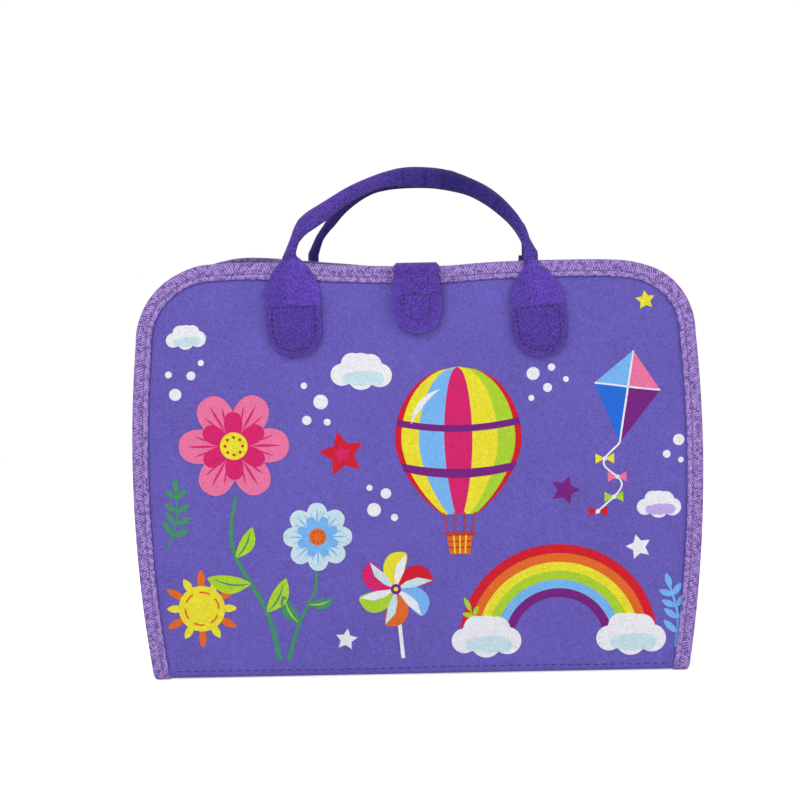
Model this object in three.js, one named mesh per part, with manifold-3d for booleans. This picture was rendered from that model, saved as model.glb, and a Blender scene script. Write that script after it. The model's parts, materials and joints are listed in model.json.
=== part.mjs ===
// A felt busy book that folds shut as a small carry case. Two covers of felt are joined by a
// felt spine at the bottom and bound with woven tape round their other three edges. Each cover
// has a felt carrying handle, and a tab from the back cover closes over the front one. The
// inner pages hold a zip, a side-release buckle, a clock and three press-on shapes.
//
// Millimetres, +Z up. The case stands on its spine, its front faces -Y, and the origin is in
// the middle of the underside.

import * as THREE from 'three';
import { mergeVertices } from 'three/addons/utils/BufferGeometryUtils.js';
import Module from 'manifold-3d';

// Sizes of the covers and the spine.
const cover_width = 280;
const cover_height = 205;
const case_depth = 30;
const corner_radius = 36;
const top_dip = 3;
const dip_half_span = 46;
const widest_height = 100;
const foot_taper = 7.5;
const felt_thick = 2.7;
const tape_width = 10;
const tape_thick = 0.8;

// Clearances. The running gap lies between pieces that turn or slide on each other.
const seat_gap = 0.3;
const running_gap = 0.3;
const overrun = 4;

// Sizes of the handles. Each strap is felt folded double, and each of its pads is two layers.
const pad_width = 27;
const pad_length = 49.3;
const pad_thick = 4.6;
const pad_neck_width = 7;
const pad_shoulder_drop = 14;
const shoulder_neck_share = 0.21;
const shoulder_side_share = 0.36;
const neck_height = 4.3;
const strap_tall = 9.6;
const strap_thick = 5.4;
const strap_edge_radius = 2;
const strap_foot_gap = 0.7;
const strap_middle_room = 2;
const right_pad_turn = THREE.MathUtils.degToRad(5.4);
const front_handle = { half_span: 59.2, rise: 36.8, shift: -1 };
const back_handle = { half_span: 53, rise: 35.8, shift: -2 };

// The strap's centre line, as shares of the half span and of the rise.
const strap_route_shares = [
  [-1, 0], [-0.985, 0.1], [-0.935, 0.23], [-0.857, 0.36], [-0.747, 0.48], [-0.6, 0.63],
  [-0.417, 0.785], [-0.218, 0.93], [-0.01, 1], [0.213, 0.975], [0.392, 0.9], [0.552, 0.785],
  [0.696, 0.617], [0.819, 0.425], [0.92, 0.244], [0.985, 0.1], [1, 0],
];

// Sizes of the closing tab and of its hook and loop patches.
const tab_width = 24;
const tab_flap_length = 31;
const tab_base_length = 30;
const tab_patch_width = 15;
const tab_patch_tall = 12;
const tab_patch_drop = 24;
const tab_patch_margin = 1;
const patch_thick = 0.8;

// Sizes of the clock on the back page.
const clock_x = 68;
const clock_below_row = 20;
const dial_radius = 42;
const thin_felt = 2;
const hand_thick = 1.6;
const hand_hub_radius = 6;
const hour_hand_length = 22;
const minute_hand_length = 33;
const hour_hand_width = 7;
const minute_hand_width = 5;
const hand_tip_length = 7;
const brad_shaft_radius = 1.8;
const brad_head_radius = 5.5;
const brad_head_thick = 1.4;
const hour_hand_turn = THREE.MathUtils.degToRad(305);
const minute_hand_turn = THREE.MathUtils.degToRad(60);

// Sizes of the press-on shapes on the back page. A drop is measured down from the cover's top.
const shape_thick = 3;
const shape_patch_radius = 8;
const circle_radius = 18;
const square_side = 33;
const triangle_side = 42;
const shape_corner_radius = 4;
const shape_row_drop = 70;
const triangle_below_row = 56;
const circle_x = -24;
const square_x = -88;
const triangle_x = -56;

// Sizes of the zip and of its pocket on the front page.
const zip_z = 38;
const zip_length = 150;
const zip_tape_width = 10;
const zip_tape_thick = 0.8;
const tooth_pitch = 3;
const tooth_wide = 1.2;
const tooth_reach = 1.3;
const tooth_root = 1.6;
const chain_half_width = 3.2;
const chain_thick = 2.4;
const stop_length = 3;
const slider_length = 12;
const slider_flange = 1.5;
const slider_plate = 1.3;
const slider_x = -56;
const lug_thick = 1.2;
const lug_length = 3.6;
const pin_radius = 0.95;
const pin_height = 2.4;
const eye_wall = 0.85;
const eye_width = 3.6;
const pull_length = 10.8;
const pull_width = 7;
const pull_thick = 1.3;
const pull_hole_radius = 1.5;
const pocket_width = 170;
const pocket_head_room = 9.4;
const pocket_corner_radius = 10;

// Sizes of the buckle and its webbing on the front page.
const buckle_drop = 30;
const buckle_wide = 32;
const buckle_thick = 8;
const buckle_corner_radius = 4;
const female_length = 38;
const female_mouth_x = 2;
const socket_wide = 25.2;
const socket_tall = 5;
const socket_depth = 28;
const window_length = 11;
const window_start = 14;
const male_frame_length = 20;
const male_thick = 4.4;
const arm_length = 25;
const arm_wide = 4.2;
const tine_length = 20;
const tine_wide = 4;
const webbing_width = 25;
const webbing_thick = 1.4;
const webbing_reach = 62;
const webbing_slot = 4;
const bar_wide = 3;

// How finely the curves are divided. A round arc takes twice the steps of its kind.
const side_steps = 10;
const dip_steps = 5;
const corner_steps = 8;
const round_steps = 12;
const small_arc_steps = 2;
const strap_steps = 32;

const cover_thick = 2 * felt_thick;
const page_level = cover_thick;
const cover_foot = felt_thick + seat_gap;
const tape_seat = tape_thick + seat_gap;
const neck_z = cover_height + neck_height;
const dip_flat_half = tab_width / 2 + seat_gap;
const tab_fold_z = cover_height - top_dip + seat_gap;
const strap_lean = Math.atan((case_depth / 2 - strap_middle_room) / front_handle.rise);
const shape_row_z = cover_height - shape_row_drop;
const clock_z = shape_row_z - clock_below_row;
const triangle_z = shape_row_z - triangle_below_row;
const buckle_z = cover_height - buckle_drop;

const felt = new THREE.MeshStandardMaterial({ color: 0x6a5fb8, roughness: 0.95 });
const page_felt = new THREE.MeshStandardMaterial({ color: 0x8fc6e8, roughness: 0.95 });
const handle_felt = new THREE.MeshStandardMaterial({ color: 0x5a46a0, roughness: 0.95 });
const tape = new THREE.MeshStandardMaterial({ color: 0x9a82c8, roughness: 0.85 });
const hook_loop = new THREE.MeshStandardMaterial({ color: 0xe9e6f2, roughness: 0.9 });
const cream_felt = new THREE.MeshStandardMaterial({ color: 0xf6f1e2, roughness: 0.95 });
const red_felt = new THREE.MeshStandardMaterial({ color: 0xd81c30, roughness: 0.95 });
const yellow_felt = new THREE.MeshStandardMaterial({ color: 0xf0d838, roughness: 0.95 });
const green_felt = new THREE.MeshStandardMaterial({ color: 0x4b966e, roughness: 0.95 });
const pink_felt = new THREE.MeshStandardMaterial({ color: 0xe4699a, roughness: 0.95 });
const zip_cloth = new THREE.MeshStandardMaterial({ color: 0xe6397a, roughness: 0.8 });
const zip_plastic = new THREE.MeshStandardMaterial({ color: 0xf7e6ee, roughness: 0.4 });
const metal = new THREE.MeshStandardMaterial({ color: 0xc8c8cc, roughness: 0.3, metalness: 1 });
const buckle_plastic = new THREE.MeshStandardMaterial({ color: 0x2f7fd6, roughness: 0.4 });
const webbing_cloth = new THREE.MeshStandardMaterial({ color: 0x23a6a0, roughness: 0.8 });

const wasm = await Module();
wasm.setup();

// Turns a closed three.js geometry into a solid that can be cut and joined.
function toSolid(geometry) {
  const bare = geometry.clone();
  bare.deleteAttribute('normal');
  bare.deleteAttribute('uv');
  const merged = mergeVertices(bare);
  return new wasm.Manifold(new wasm.Mesh({
    numProp: 3,
    vertProperties: new Float32Array(merged.attributes.position.array),
    triVerts: new Uint32Array(merged.index.array),
  }));
}

// Turns a solid back into a geometry.
function toGeometry(solid) {
  const mesh = solid.getMesh();
  const geometry = new THREE.BufferGeometry();
  geometry.setAttribute('position', new THREE.BufferAttribute(mesh.vertProperties, 3));
  geometry.setIndex(new THREE.BufferAttribute(mesh.triVerts, 1));
  geometry.computeVertexNormals();
  return geometry;
}

// Joins geometries into one.
function join(...parts) {
  return toGeometry(parts.map(toSolid).reduce((whole, part) => whole.add(part)));
}

// Cuts tools out of a geometry.
function cut(base, ...tools) {
  return toGeometry(tools.map(toSolid).reduce((whole, tool) => whole.subtract(tool), toSolid(base)));
}

// A block between two corners.
function block(x, y, z) {
  const geometry = new THREE.BoxGeometry(x[1] - x[0], y[1] - y[0], z[1] - z[0]);
  return geometry.translate((x[0] + x[1]) / 2, (y[0] + y[1]) / 2, (z[0] + z[1]) / 2);
}

// A flat piece: a shape in X and Z that is as thick as the span from one Y to another.
function sheet(shape, y_from, y_to, curve_steps = round_steps) {
  const settings = { depth: y_to - y_from, bevelEnabled: false, curveSegments: curve_steps };
  return new THREE.ExtrudeGeometry(shape, settings).rotateX(Math.PI / 2).translate(0, y_to, 0);
}

// A round bar along Z.
function barAlongZ(radius, length) {
  return new THREE.CylinderGeometry(radius, radius, length, 2 * round_steps).rotateX(Math.PI / 2);
}

// A named mesh with its own copy of a material.
function piece(name, geometry, material, x = 0, z = 0) {
  const mesh = new THREE.Mesh(geometry, material.clone());
  mesh.name = name;
  mesh.position.set(x, 0, z);
  return mesh;
}

// Half the cover's width at a height: a parabola, widest a little below the middle.
function halfWidthAt(z) {
  const rise_share = (z - widest_height) / widest_height;
  return cover_width / 2 - foot_taper * rise_share * rise_share;
}

// How fast the half width shrinks with height.
function taperAt(z) {
  return 2 * foot_taper * (z - widest_height) / (widest_height * widest_height);
}

// How far the top edge dips at an x: all the way under the tab, and less and less beside it.
function dipAt(x) {
  const away_share = (Math.abs(x) - dip_flat_half) / (dip_half_span - dip_flat_half);
  return top_dip * (1 + Math.cos(Math.PI * THREE.MathUtils.clamp(away_share, 0, 1))) / 2;
}

// The cover's outline, drawn in from its edge: a barrel side, a round corner, and the top, which
// dips in the middle where the tab presses on it.
function coverOutline(inset, foot) {
  const lean = Math.atan(taperAt(cover_height - corner_radius));
  const centre_z = cover_height - corner_radius;
  const tangent_z = centre_z + corner_radius * Math.sin(lean);
  const centre_x = halfWidthAt(tangent_z) - corner_radius * Math.cos(lean);
  const radius = corner_radius - inset;
  const side_top = centre_z + radius * Math.sin(lean);
  const half = [];
  for (let i = 0; i < side_steps; i += 1) {
    const z = foot + (side_top - foot) * i / side_steps;
    half.push(new THREE.Vector2(halfWidthAt(z) - inset * Math.hypot(1, taperAt(z)), z));
  }
  for (let i = 0; i <= corner_steps; i += 1) {
    const angle = lean + (Math.PI / 2 - lean) * i / corner_steps;
    half.push(new THREE.Vector2(centre_x + radius * Math.cos(angle), centre_z + radius * Math.sin(angle)));
  }
  for (let i = 0; i <= dip_steps; i += 1) {
    const x = dip_half_span + (dip_flat_half - dip_half_span) * i / dip_steps;
    half.push(new THREE.Vector2(x, cover_height - inset - dipAt(x)));
  }
  const mirrored = half.map((point) => new THREE.Vector2(-point.x, point.y)).reverse();
  return new THREE.Shape([...half, ...mirrored]);
}

// One felt layer of a cover. It is thinner round the edge, where the tape presses it.
function coverFelt(y_from, y_to, edge_from, edge_to) {
  const middle = sheet(coverOutline(tape_width + seat_gap, cover_foot), y_from, y_to);
  const edge = sheet(coverOutline(tape_seat, cover_foot), edge_from, edge_to);
  return join(middle, edge);
}

// The tape that is folded over a cover's three free edges, a channel open to the inside.
function bindingTape() {
  const below = cover_foot - overrun;
  const body = sheet(coverOutline(0, cover_foot), 0, cover_thick);
  const groove = sheet(coverOutline(tape_thick, below), tape_thick, cover_thick - tape_thick);
  const middle = sheet(coverOutline(tape_width, below), -overrun, cover_thick + overrun);
  return cut(body, groove, middle);
}

// A handle pad: round at the bottom, drawn in to a narrow neck at the top, which is at z = 0.
function padShape() {
  const half = pad_width / 2;
  const neck = pad_neck_width / 2;
  const shoulder = -pad_shoulder_drop;
  const shape = new THREE.Shape();
  shape.moveTo(neck, 0);
  const near_neck = shoulder * shoulder_neck_share;
  const near_side = shoulder * shoulder_side_share;
  shape.bezierCurveTo(neck, near_neck, half, near_side, half, shoulder);
  shape.lineTo(half, half - pad_length);
  shape.absarc(0, half - pad_length, half, 0, -Math.PI, true);
  shape.lineTo(-half, shoulder);
  shape.bezierCurveTo(-half, near_side, -neck, near_neck, -neck, 0);
  return shape;
}

// A rectangle with round corners, about the origin.
function roundedRectangle(width, height, radius) {
  const x = width / 2 - radius;
  const y = height / 2 - radius;
  const shape = new THREE.Shape();
  shape.absarc(x, y, radius, 0, Math.PI / 2);
  shape.absarc(-x, y, radius, Math.PI / 2, Math.PI);
  shape.absarc(-x, -y, radius, Math.PI, 3 * Math.PI / 2);
  shape.absarc(x, -y, radius, 3 * Math.PI / 2, 2 * Math.PI);
  return shape;
}

// A triangle with equal sides and round corners, about the origin.
function roundedTriangle(side, radius) {
  const reach = side / Math.sqrt(3) - 2 * radius;
  const shape = new THREE.Shape();
  for (let i = 0; i < 3; i += 1) {
    const angle = Math.PI / 2 + i * 2 * Math.PI / 3;
    const x = reach * Math.cos(angle);
    const y = reach * Math.sin(angle);
    shape.absarc(x, y, radius, angle - Math.PI / 3, angle + Math.PI / 3);
  }
  return shape;
}

// A disc, with a hole in it where a hole radius is given.
function discShape(radius, hole_radius = 0) {
  const shape = new THREE.Shape().absarc(0, 0, radius, 0, 2 * Math.PI);
  if (hole_radius > 0) {
    shape.holes.push(new THREE.Path().absarc(0, 0, hole_radius, 0, 2 * Math.PI, true));
  }
  return shape;
}

// A D on its side: flat on top, round below, about the middle of its flat edge.
function dShape(width, height) {
  const half = width / 2;
  const shape = new THREE.Shape();
  shape.moveTo(half, 0);
  shape.lineTo(half, half - height);
  shape.absarc(0, half - height, half, 0, -Math.PI, true);
  shape.lineTo(-half, 0);
  return shape;
}

// The strap of a handle: a rounded section carried along an arch in a leaning plane.
function handleStrap(name, handle) {
  const lift = strap_thick * Math.tan(strap_lean) + strap_foot_gap;
  const points = strap_route_shares.map(([x_share, rise_share]) => new THREE.Vector3(
    x_share * handle.half_span,
    lift + rise_share * handle.rise,
    0,
  ));
  const section = roundedRectangle(strap_thick, strap_tall, strap_edge_radius);
  const geometry = new THREE.ExtrudeGeometry(section, {
    steps: strap_steps,
    extrudePath: new THREE.CatmullRomCurve3(points),
    curveSegments: small_arc_steps / 2,
  });
  geometry.rotateX(Math.PI / 2).translate(handle.shift, strap_thick / 2, 0);
  const strap = piece(name, geometry, handle_felt);
  strap.position.set(0, -pad_thick, neck_z);
  strap.rotation.x = -strap_lean;
  return strap;
}

// Both pads of a handle, stitched to the outside of a cover.
function handlePads(side, handle) {
  const pad = sheet(padShape(), -pad_thick, 0, round_steps / 2);
  const left = piece(`${side}_pad_left`, pad, handle_felt);
  const right = piece(`${side}_pad_right`, pad.clone(), handle_felt);
  left.position.set(handle.shift - handle.half_span, 0, neck_z - seat_gap);
  right.position.set(handle.shift + handle.half_span, 0, neck_z - seat_gap);
  right.rotation.y = -right_pad_turn;
  return [left, right];
}

// A cover in its own frame: its outer face is the plane y = 0, its inside faces +Y, and it
// folds about the X axis.
function cover(side, handle) {
  const group = new THREE.Group();
  group.add(
    piece(`${side}_cover_felt`, coverFelt(0, felt_thick, tape_seat, felt_thick), felt),
    piece(
      `${side}_page_felt`,
      coverFelt(felt_thick, cover_thick, felt_thick, cover_thick - tape_seat),
      page_felt,
    ),
    piece(`${side}_binding_tape`, bindingTape(), tape),
    ...handlePads(side, handle),
    handleStrap(`${side}_handle_strap`, handle),
  );
  return group;
}

// The spine: two layers of felt with tape folded over their two short ends.
function spine() {
  const half_width = halfWidthAt(0);
  const half_depth = case_depth / 2;
  const inner_half_depth = half_depth - cover_thick - seat_gap;
  const between_tapes = half_width - tape_width - seat_gap;
  const under_tapes = half_width - tape_seat;
  const layer = (depth, level, edge) => join(
    block([-between_tapes, between_tapes], [-depth, depth], level),
    block([-under_tapes, under_tapes], [-depth, depth], edge),
  );
  const end_tape = (end) => {
    const across = end > 0 ? [half_width - tape_width, half_width] : [-half_width, tape_width - half_width];
    const inside = end > 0
      ? [half_width - tape_width - overrun, half_width - tape_thick]
      : [tape_thick - half_width, tape_width + overrun - half_width];
    const body = join(
      block(across, [-half_depth, half_depth], [0, felt_thick]),
      block(across, [-inner_half_depth, inner_half_depth], [felt_thick, cover_thick]),
    );
    const reach = half_depth + overrun;
    return cut(body, block(inside, [-reach, reach], [tape_thick, cover_thick - tape_thick]));
  };
  const outer = layer(half_depth, [0, felt_thick], [tape_seat, felt_thick]);
  const lining = layer(inner_half_depth, [felt_thick, cover_thick], [felt_thick, cover_thick - tape_seat]);
  const group = new THREE.Group();
  group.add(
    piece('spine_felt', outer, felt),
    piece('spine_lining', lining, page_felt),
    piece('spine_tape_left', end_tape(-1), tape),
    piece('spine_tape_right', end_tape(1), tape),
  );
  return group;
}

// The closing tab, in the back cover's frame. Its base is stitched to the back, its bridge
// crosses both covers, and its flap hangs over the front with a hook patch behind it.
function closingTab() {
  const half = tab_width / 2;
  const flap_level = case_depth + 2 * patch_thick + seat_gap;
  const base = sheet(dShape(tab_width, tab_base_length + seat_gap), -felt_thick, 0);
  const bridge = block(
    [-half, half],
    [-felt_thick, flap_level - running_gap],
    [tab_fold_z + seat_gap, tab_fold_z + seat_gap + felt_thick],
  );
  const flap = sheet(dShape(tab_width, tab_flap_length), flap_level, flap_level + felt_thick);
  const hook = sheet(dShape(tab_patch_width, tab_patch_tall), flap_level - patch_thick, flap_level);
  return [
    piece('tab_base', base, handle_felt, 0, tab_fold_z),
    piece('tab_bridge', bridge, handle_felt),
    piece('tab_flap', flap, handle_felt, 0, tab_fold_z),
    piece('tab_hook_patch', hook, hook_loop, 0, tab_fold_z - tab_patch_drop + tab_patch_tall),
  ];
}

// The loop patch on the front cover, a little larger than the hook patch that it takes.
function loopPatch() {
  const width = tab_patch_width + 2 * tab_patch_margin;
  const tall = tab_patch_tall + 2 * tab_patch_margin;
  const top = tab_fold_z - tab_patch_drop + tab_patch_tall + tab_patch_margin;
  return piece('tab_loop_patch', sheet(dShape(width, tall), -patch_thick, 0), hook_loop, 0, top);
}

// A clock hand that points up from the hub at the origin, with a hole for the brad.
function handShape(length, width) {
  const open = Math.asin(width / 2 / hand_hub_radius);
  const shape = new THREE.Shape();
  shape.absarc(0, 0, hand_hub_radius, Math.PI / 2 + open, 2.5 * Math.PI - open);
  shape.lineTo(width / 2, length - hand_tip_length);
  shape.lineTo(0, length);
  shape.lineTo(-width / 2, length - hand_tip_length);
  shape.holes.push(new THREE.Path().absarc(0, 0, brad_shaft_radius + running_gap, 0, 2 * Math.PI, true));
  return shape;
}

// The clock on the back page: a felt dial, two hands and the brad that they turn on.
function clock() {
  const hour_level = page_level + thin_felt + running_gap;
  const minute_level = hour_level + hand_thick + running_gap;
  const head_level = minute_level + hand_thick + running_gap;
  const dial_shape = discShape(dial_radius, brad_shaft_radius + running_gap);
  const hour_shape = handShape(hour_hand_length, hour_hand_width);
  const minute_shape = handShape(minute_hand_length, minute_hand_width);
  const dial = sheet(dial_shape, page_level, page_level + thin_felt);
  const hour = sheet(hour_shape, hour_level, hour_level + hand_thick);
  const minute = sheet(minute_shape, minute_level, minute_level + hand_thick);
  const head_edge = head_level + brad_head_thick / 2;
  const brad = new THREE.LatheGeometry([
    new THREE.Vector2(0, page_level),
    new THREE.Vector2(brad_shaft_radius, page_level),
    new THREE.Vector2(brad_shaft_radius, head_level),
    new THREE.Vector2(brad_head_radius, head_level),
    new THREE.Vector2(brad_head_radius, head_edge),
    new THREE.Vector2(0, head_level + brad_head_thick),
  ], 2 * round_steps);
  const hour_hand = piece('clock_hour_hand', hour, red_felt, clock_x, clock_z);
  const minute_hand = piece('clock_minute_hand', minute, red_felt, clock_x, clock_z);
  hour_hand.rotation.y = -hour_hand_turn;
  minute_hand.rotation.y = -minute_hand_turn;
  return [
    piece('clock_dial', dial, cream_felt, clock_x, clock_z),
    hour_hand,
    minute_hand,
    piece('clock_brad', brad, metal, clock_x, clock_z),
  ];
}

// One press-on shape: a loop patch on the page, and felt with a hook patch behind it.
function pressOnShape(name, shape, curve_steps, material, x, z) {
  const hook_level = page_level + patch_thick + seat_gap;
  const felt_level = hook_level + patch_thick;
  const patch = discShape(shape_patch_radius);
  return [
    piece(`${name}_loop_patch`, sheet(patch, page_level, page_level + patch_thick), hook_loop, x, z),
    piece(`${name}_hook_patch`, sheet(patch, hook_level, felt_level), hook_loop, x, z),
    piece(`${name}_shape`, sheet(shape, felt_level, felt_level + shape_thick, curve_steps), material, x, z),
  ];
}

// One row of the zip's teeth: a strip with a comb of teeth that reach over the middle line.
function toothRow(way, shift) {
  const count = Math.floor((zip_length - 2 * stop_length) / tooth_pitch) - 1;
  const start = -count * tooth_pitch / 2 + shift;
  const shape = new THREE.Shape();
  shape.moveTo(-count * tooth_pitch / 2, way * chain_half_width);
  shape.lineTo(-count * tooth_pitch / 2, way * tooth_root);
  for (let i = 0; i < count; i += 1) {
    const x = start + i * tooth_pitch;
    shape.lineTo(x, way * tooth_root);
    shape.lineTo(x, -way * tooth_reach);
    shape.lineTo(x + tooth_wide, -way * tooth_reach);
    shape.lineTo(x + tooth_wide, way * tooth_root);
  }
  shape.lineTo(count * tooth_pitch / 2, way * tooth_root);
  shape.lineTo(count * tooth_pitch / 2, way * chain_half_width);
  const level = page_level + zip_tape_thick;
  return sheet(shape, level, level + chain_thick);
}

// The zip's slider: a plate with a flange down each side of the teeth, and two lugs with a pin.
function zipSlider() {
  const half = slider_length / 2;
  const inner = chain_half_width + running_gap;
  const outer = inner + slider_flange;
  const flange_foot = page_level + zip_tape_thick + running_gap;
  const under = page_level + zip_tape_thick + chain_thick + running_gap;
  const top = under + slider_plate;
  const lug_inner = eye_width / 2 + running_gap;
  const lug_outer = lug_inner + lug_thick;
  const lug_half = lug_length / 2;
  const lug_top = top + pin_height + pin_radius;
  return join(
    block([-half, half], [under, top], [-outer, outer]),
    block([-half, half], [flange_foot, top], [inner, outer]),
    block([-half, half], [flange_foot, top], [-outer, -inner]),
    block([-lug_half, lug_half], [under, lug_top], [lug_inner, lug_outer]),
    block([-lug_half, lug_half], [under, lug_top], [-lug_outer, -lug_inner]),
    barAlongZ(pin_radius, lug_outer + lug_inner).translate(0, top + pin_height, 0),
  );
}

// The zip's pull: an eye round the slider's pin and a flat tab with a hole near its end.
function zipPull() {
  const bore = pin_radius + running_gap;
  const eye = bore + eye_wall;
  const neck = eye_width / 2;
  const half = pull_width / 2;
  const shoulder = lug_length;
  const shape = new THREE.Shape();
  shape.moveTo(0, -neck);
  shape.lineTo(shoulder, -neck);
  shape.lineTo(shoulder, -half);
  shape.lineTo(pull_length - half, -half);
  shape.absarc(pull_length - half, 0, half, -Math.PI / 2, Math.PI / 2);
  shape.lineTo(shoulder, half);
  shape.lineTo(shoulder, neck);
  shape.lineTo(0, neck);
  shape.holes.push(new THREE.Path().absarc(pull_length - half, 0, pull_hole_radius, 0, 2 * Math.PI, true));
  const body = join(sheet(shape, -pull_thick / 2, pull_thick / 2), barAlongZ(eye, eye_width));
  return cut(body, barAlongZ(bore, eye_width + overrun));
}

// The zip across the lower part of the front page, and the pocket above it.
function zip() {
  const half = zip_length / 2;
  const level = page_level + zip_tape_thick;
  const edge = seat_gap + zip_tape_width;
  const upper_tape = block([-half, half], [page_level, level], [seat_gap, edge]);
  const lower_tape = block([-half, half], [page_level, level], [-edge, -seat_gap]);
  const stop = block([0, stop_length], [level, level + chain_thick], [-chain_half_width, chain_half_width]);
  const top = level + chain_thick + running_gap + slider_plate;
  const pull = piece('zipper_pull', zipPull(), metal);
  pull.position.set(slider_x, top + pin_height, zip_z);
  const pocket_foot = zip_z + edge + seat_gap;
  const pocket_tall = buckle_z - buckle_wide / 2 - pocket_head_room - pocket_foot;
  const pocket_z = pocket_foot + pocket_tall / 2;
  const pocket_shape = roundedRectangle(pocket_width, pocket_tall, pocket_corner_radius);
  const pocket = sheet(pocket_shape, page_level, page_level + thin_felt, 2 * small_arc_steps);
  return [
    piece('zipper_tape_upper', upper_tape, zip_cloth, 0, zip_z),
    piece('zipper_tape_lower', lower_tape, zip_cloth, 0, zip_z),
    piece('zipper_teeth_upper', toothRow(1, seat_gap), zip_plastic, 0, zip_z),
    piece('zipper_teeth_lower', toothRow(-1, seat_gap + tooth_pitch / 2), zip_plastic, 0, zip_z),
    piece('zipper_stop_left', stop, zip_plastic, -half, zip_z),
    piece('zipper_stop_right', stop.clone(), zip_plastic, half - stop_length, zip_z),
    piece('zipper_slider', zipSlider(), metal, slider_x, zip_z),
    pull,
    piece('pocket_panel', pocket, pink_felt, 0, pocket_z),
  ];
}

// The half of the buckle that stays put: a socket with a window in each side, and a webbing slot.
function buckleFemale() {
  const level = page_level + webbing_thick + seat_gap;
  const middle = level + buckle_thick / 2;
  const rear = female_mouth_x - female_length;
  const half_wide = buckle_wide / 2;
  const half_tall = socket_tall / 2;
  const half_slot = webbing_width / 2 + seat_gap;
  const outline = roundedRectangle(female_length, buckle_wide, buckle_corner_radius);
  const body = sheet(outline, level, level + buckle_thick, small_arc_steps);
  body.translate(rear + female_length / 2, 0, 0);
  const socket = block(
    [female_mouth_x - socket_depth, female_mouth_x + overrun],
    [middle - half_tall, middle + half_tall],
    [-socket_wide / 2, socket_wide / 2],
  );
  const windows = block(
    [female_mouth_x - window_start - window_length, female_mouth_x - window_start],
    [middle - half_tall, middle + half_tall],
    [-half_wide - overrun, half_wide + overrun],
  );
  const slot = block(
    [rear + bar_wide, rear + bar_wide + webbing_slot],
    [level - overrun, level + buckle_thick + overrun],
    [-half_slot, half_slot],
  );
  return cut(body, socket, windows, slot);
}

// The half of the buckle that pulls out: two side arms and a tine on a frame for the webbing.
function buckleMale() {
  const middle = page_level + webbing_thick + seat_gap + buckle_thick / 2;
  const frame_start = female_mouth_x + running_gap;
  const frame_end = frame_start + male_frame_length;
  const arm_outer = socket_wide / 2 - running_gap;
  const arm_inner = arm_outer - arm_wide;
  const half_wide = buckle_wide / 2;
  const half_slot = webbing_width / 2 + seat_gap;
  const half_tine = tine_wide / 2;
  const shape = new THREE.Shape();
  shape.moveTo(frame_start, half_wide);
  shape.lineTo(frame_start, arm_outer);
  shape.lineTo(frame_start - arm_length, arm_outer);
  shape.lineTo(frame_start - arm_length, arm_inner);
  shape.lineTo(frame_start, arm_inner);
  shape.lineTo(frame_start, half_tine);
  shape.lineTo(frame_start - tine_length, half_tine);
  shape.lineTo(frame_start - tine_length, -half_tine);
  shape.lineTo(frame_start, -half_tine);
  shape.lineTo(frame_start, -arm_inner);
  shape.lineTo(frame_start - arm_length, -arm_inner);
  shape.lineTo(frame_start - arm_length, -arm_outer);
  shape.lineTo(frame_start, -arm_outer);
  shape.lineTo(frame_start, -half_wide);
  shape.lineTo(frame_end - buckle_corner_radius, -half_wide);
  shape.absarc(frame_end - buckle_corner_radius, buckle_corner_radius - half_wide, buckle_corner_radius,
    -Math.PI / 2, 0);
  shape.absarc(frame_end - buckle_corner_radius, half_wide - buckle_corner_radius, buckle_corner_radius,
    0, Math.PI / 2);
  const slot_start = frame_end - bar_wide - webbing_slot;
  shape.holes.push(new THREE.Path([
    new THREE.Vector2(slot_start, -half_slot),
    new THREE.Vector2(slot_start, half_slot),
    new THREE.Vector2(slot_start + webbing_slot, half_slot),
    new THREE.Vector2(slot_start + webbing_slot, -half_slot),
  ]));
  return sheet(shape, middle - male_thick / 2, middle + male_thick / 2, small_arc_steps);
}

// The buckle near the top of the front page, on two lengths of webbing stitched to the page.
function buckle() {
  const half = webbing_width / 2;
  const span = [page_level, page_level + webbing_thick];
  const rear = female_mouth_x - female_length;
  const front = female_mouth_x + running_gap + male_frame_length;
  const left = block([rear - webbing_reach, female_mouth_x - seat_gap], span, [-half, half]);
  const right = block([female_mouth_x + seat_gap, front + webbing_reach], span, [-half, half]);
  return [
    piece('buckle_webbing_left', left, webbing_cloth, 0, buckle_z),
    piece('buckle_webbing_right', right, webbing_cloth, 0, buckle_z),
    piece('buckle_female', buckleFemale(), buckle_plastic, 0, buckle_z),
    piece('buckle_male', buckleMale(), buckle_plastic, 0, buckle_z),
  ];
}

const front = cover('front', front_handle);
front.add(loopPatch(), ...zip(), ...buckle());
front.position.y = -case_depth / 2;

const back = cover('back', back_handle);
const circle = discShape(circle_radius);
const square = roundedRectangle(square_side, square_side, shape_corner_radius);
const triangle = roundedTriangle(triangle_side, shape_corner_radius);
back.add(
  ...closingTab(),
  ...clock(),
  ...pressOnShape('circle', circle, round_steps, red_felt, circle_x, shape_row_z),
  ...pressOnShape('square', square, small_arc_steps, yellow_felt, square_x, shape_row_z),
  ...pressOnShape('triangle', triangle, small_arc_steps, green_felt, triangle_x, triangle_z),
);
back.position.y = case_depth / 2;
back.rotation.z = Math.PI;

const busy_book = new THREE.Group();
busy_book.add(spine(), front, back);

export default busy_book;
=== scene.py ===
"""The looks of a felt busy board, shut as a carry case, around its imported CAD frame.

Sizes in this file are in millimetres and become metres where a mesh is made. The front cover's
outer face is the plane y = -15, the back one's is y = 15, and z is the height above the ground.
"""

import json
import logging
import math
from dataclasses import dataclass, field
from enum import Enum
from typing import Iterable, Sequence

import bmesh
import bpy
import numpy as np
from mathutils import Matrix, Vector
from mathutils.geometry import delaunay_2d_cdt

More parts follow.
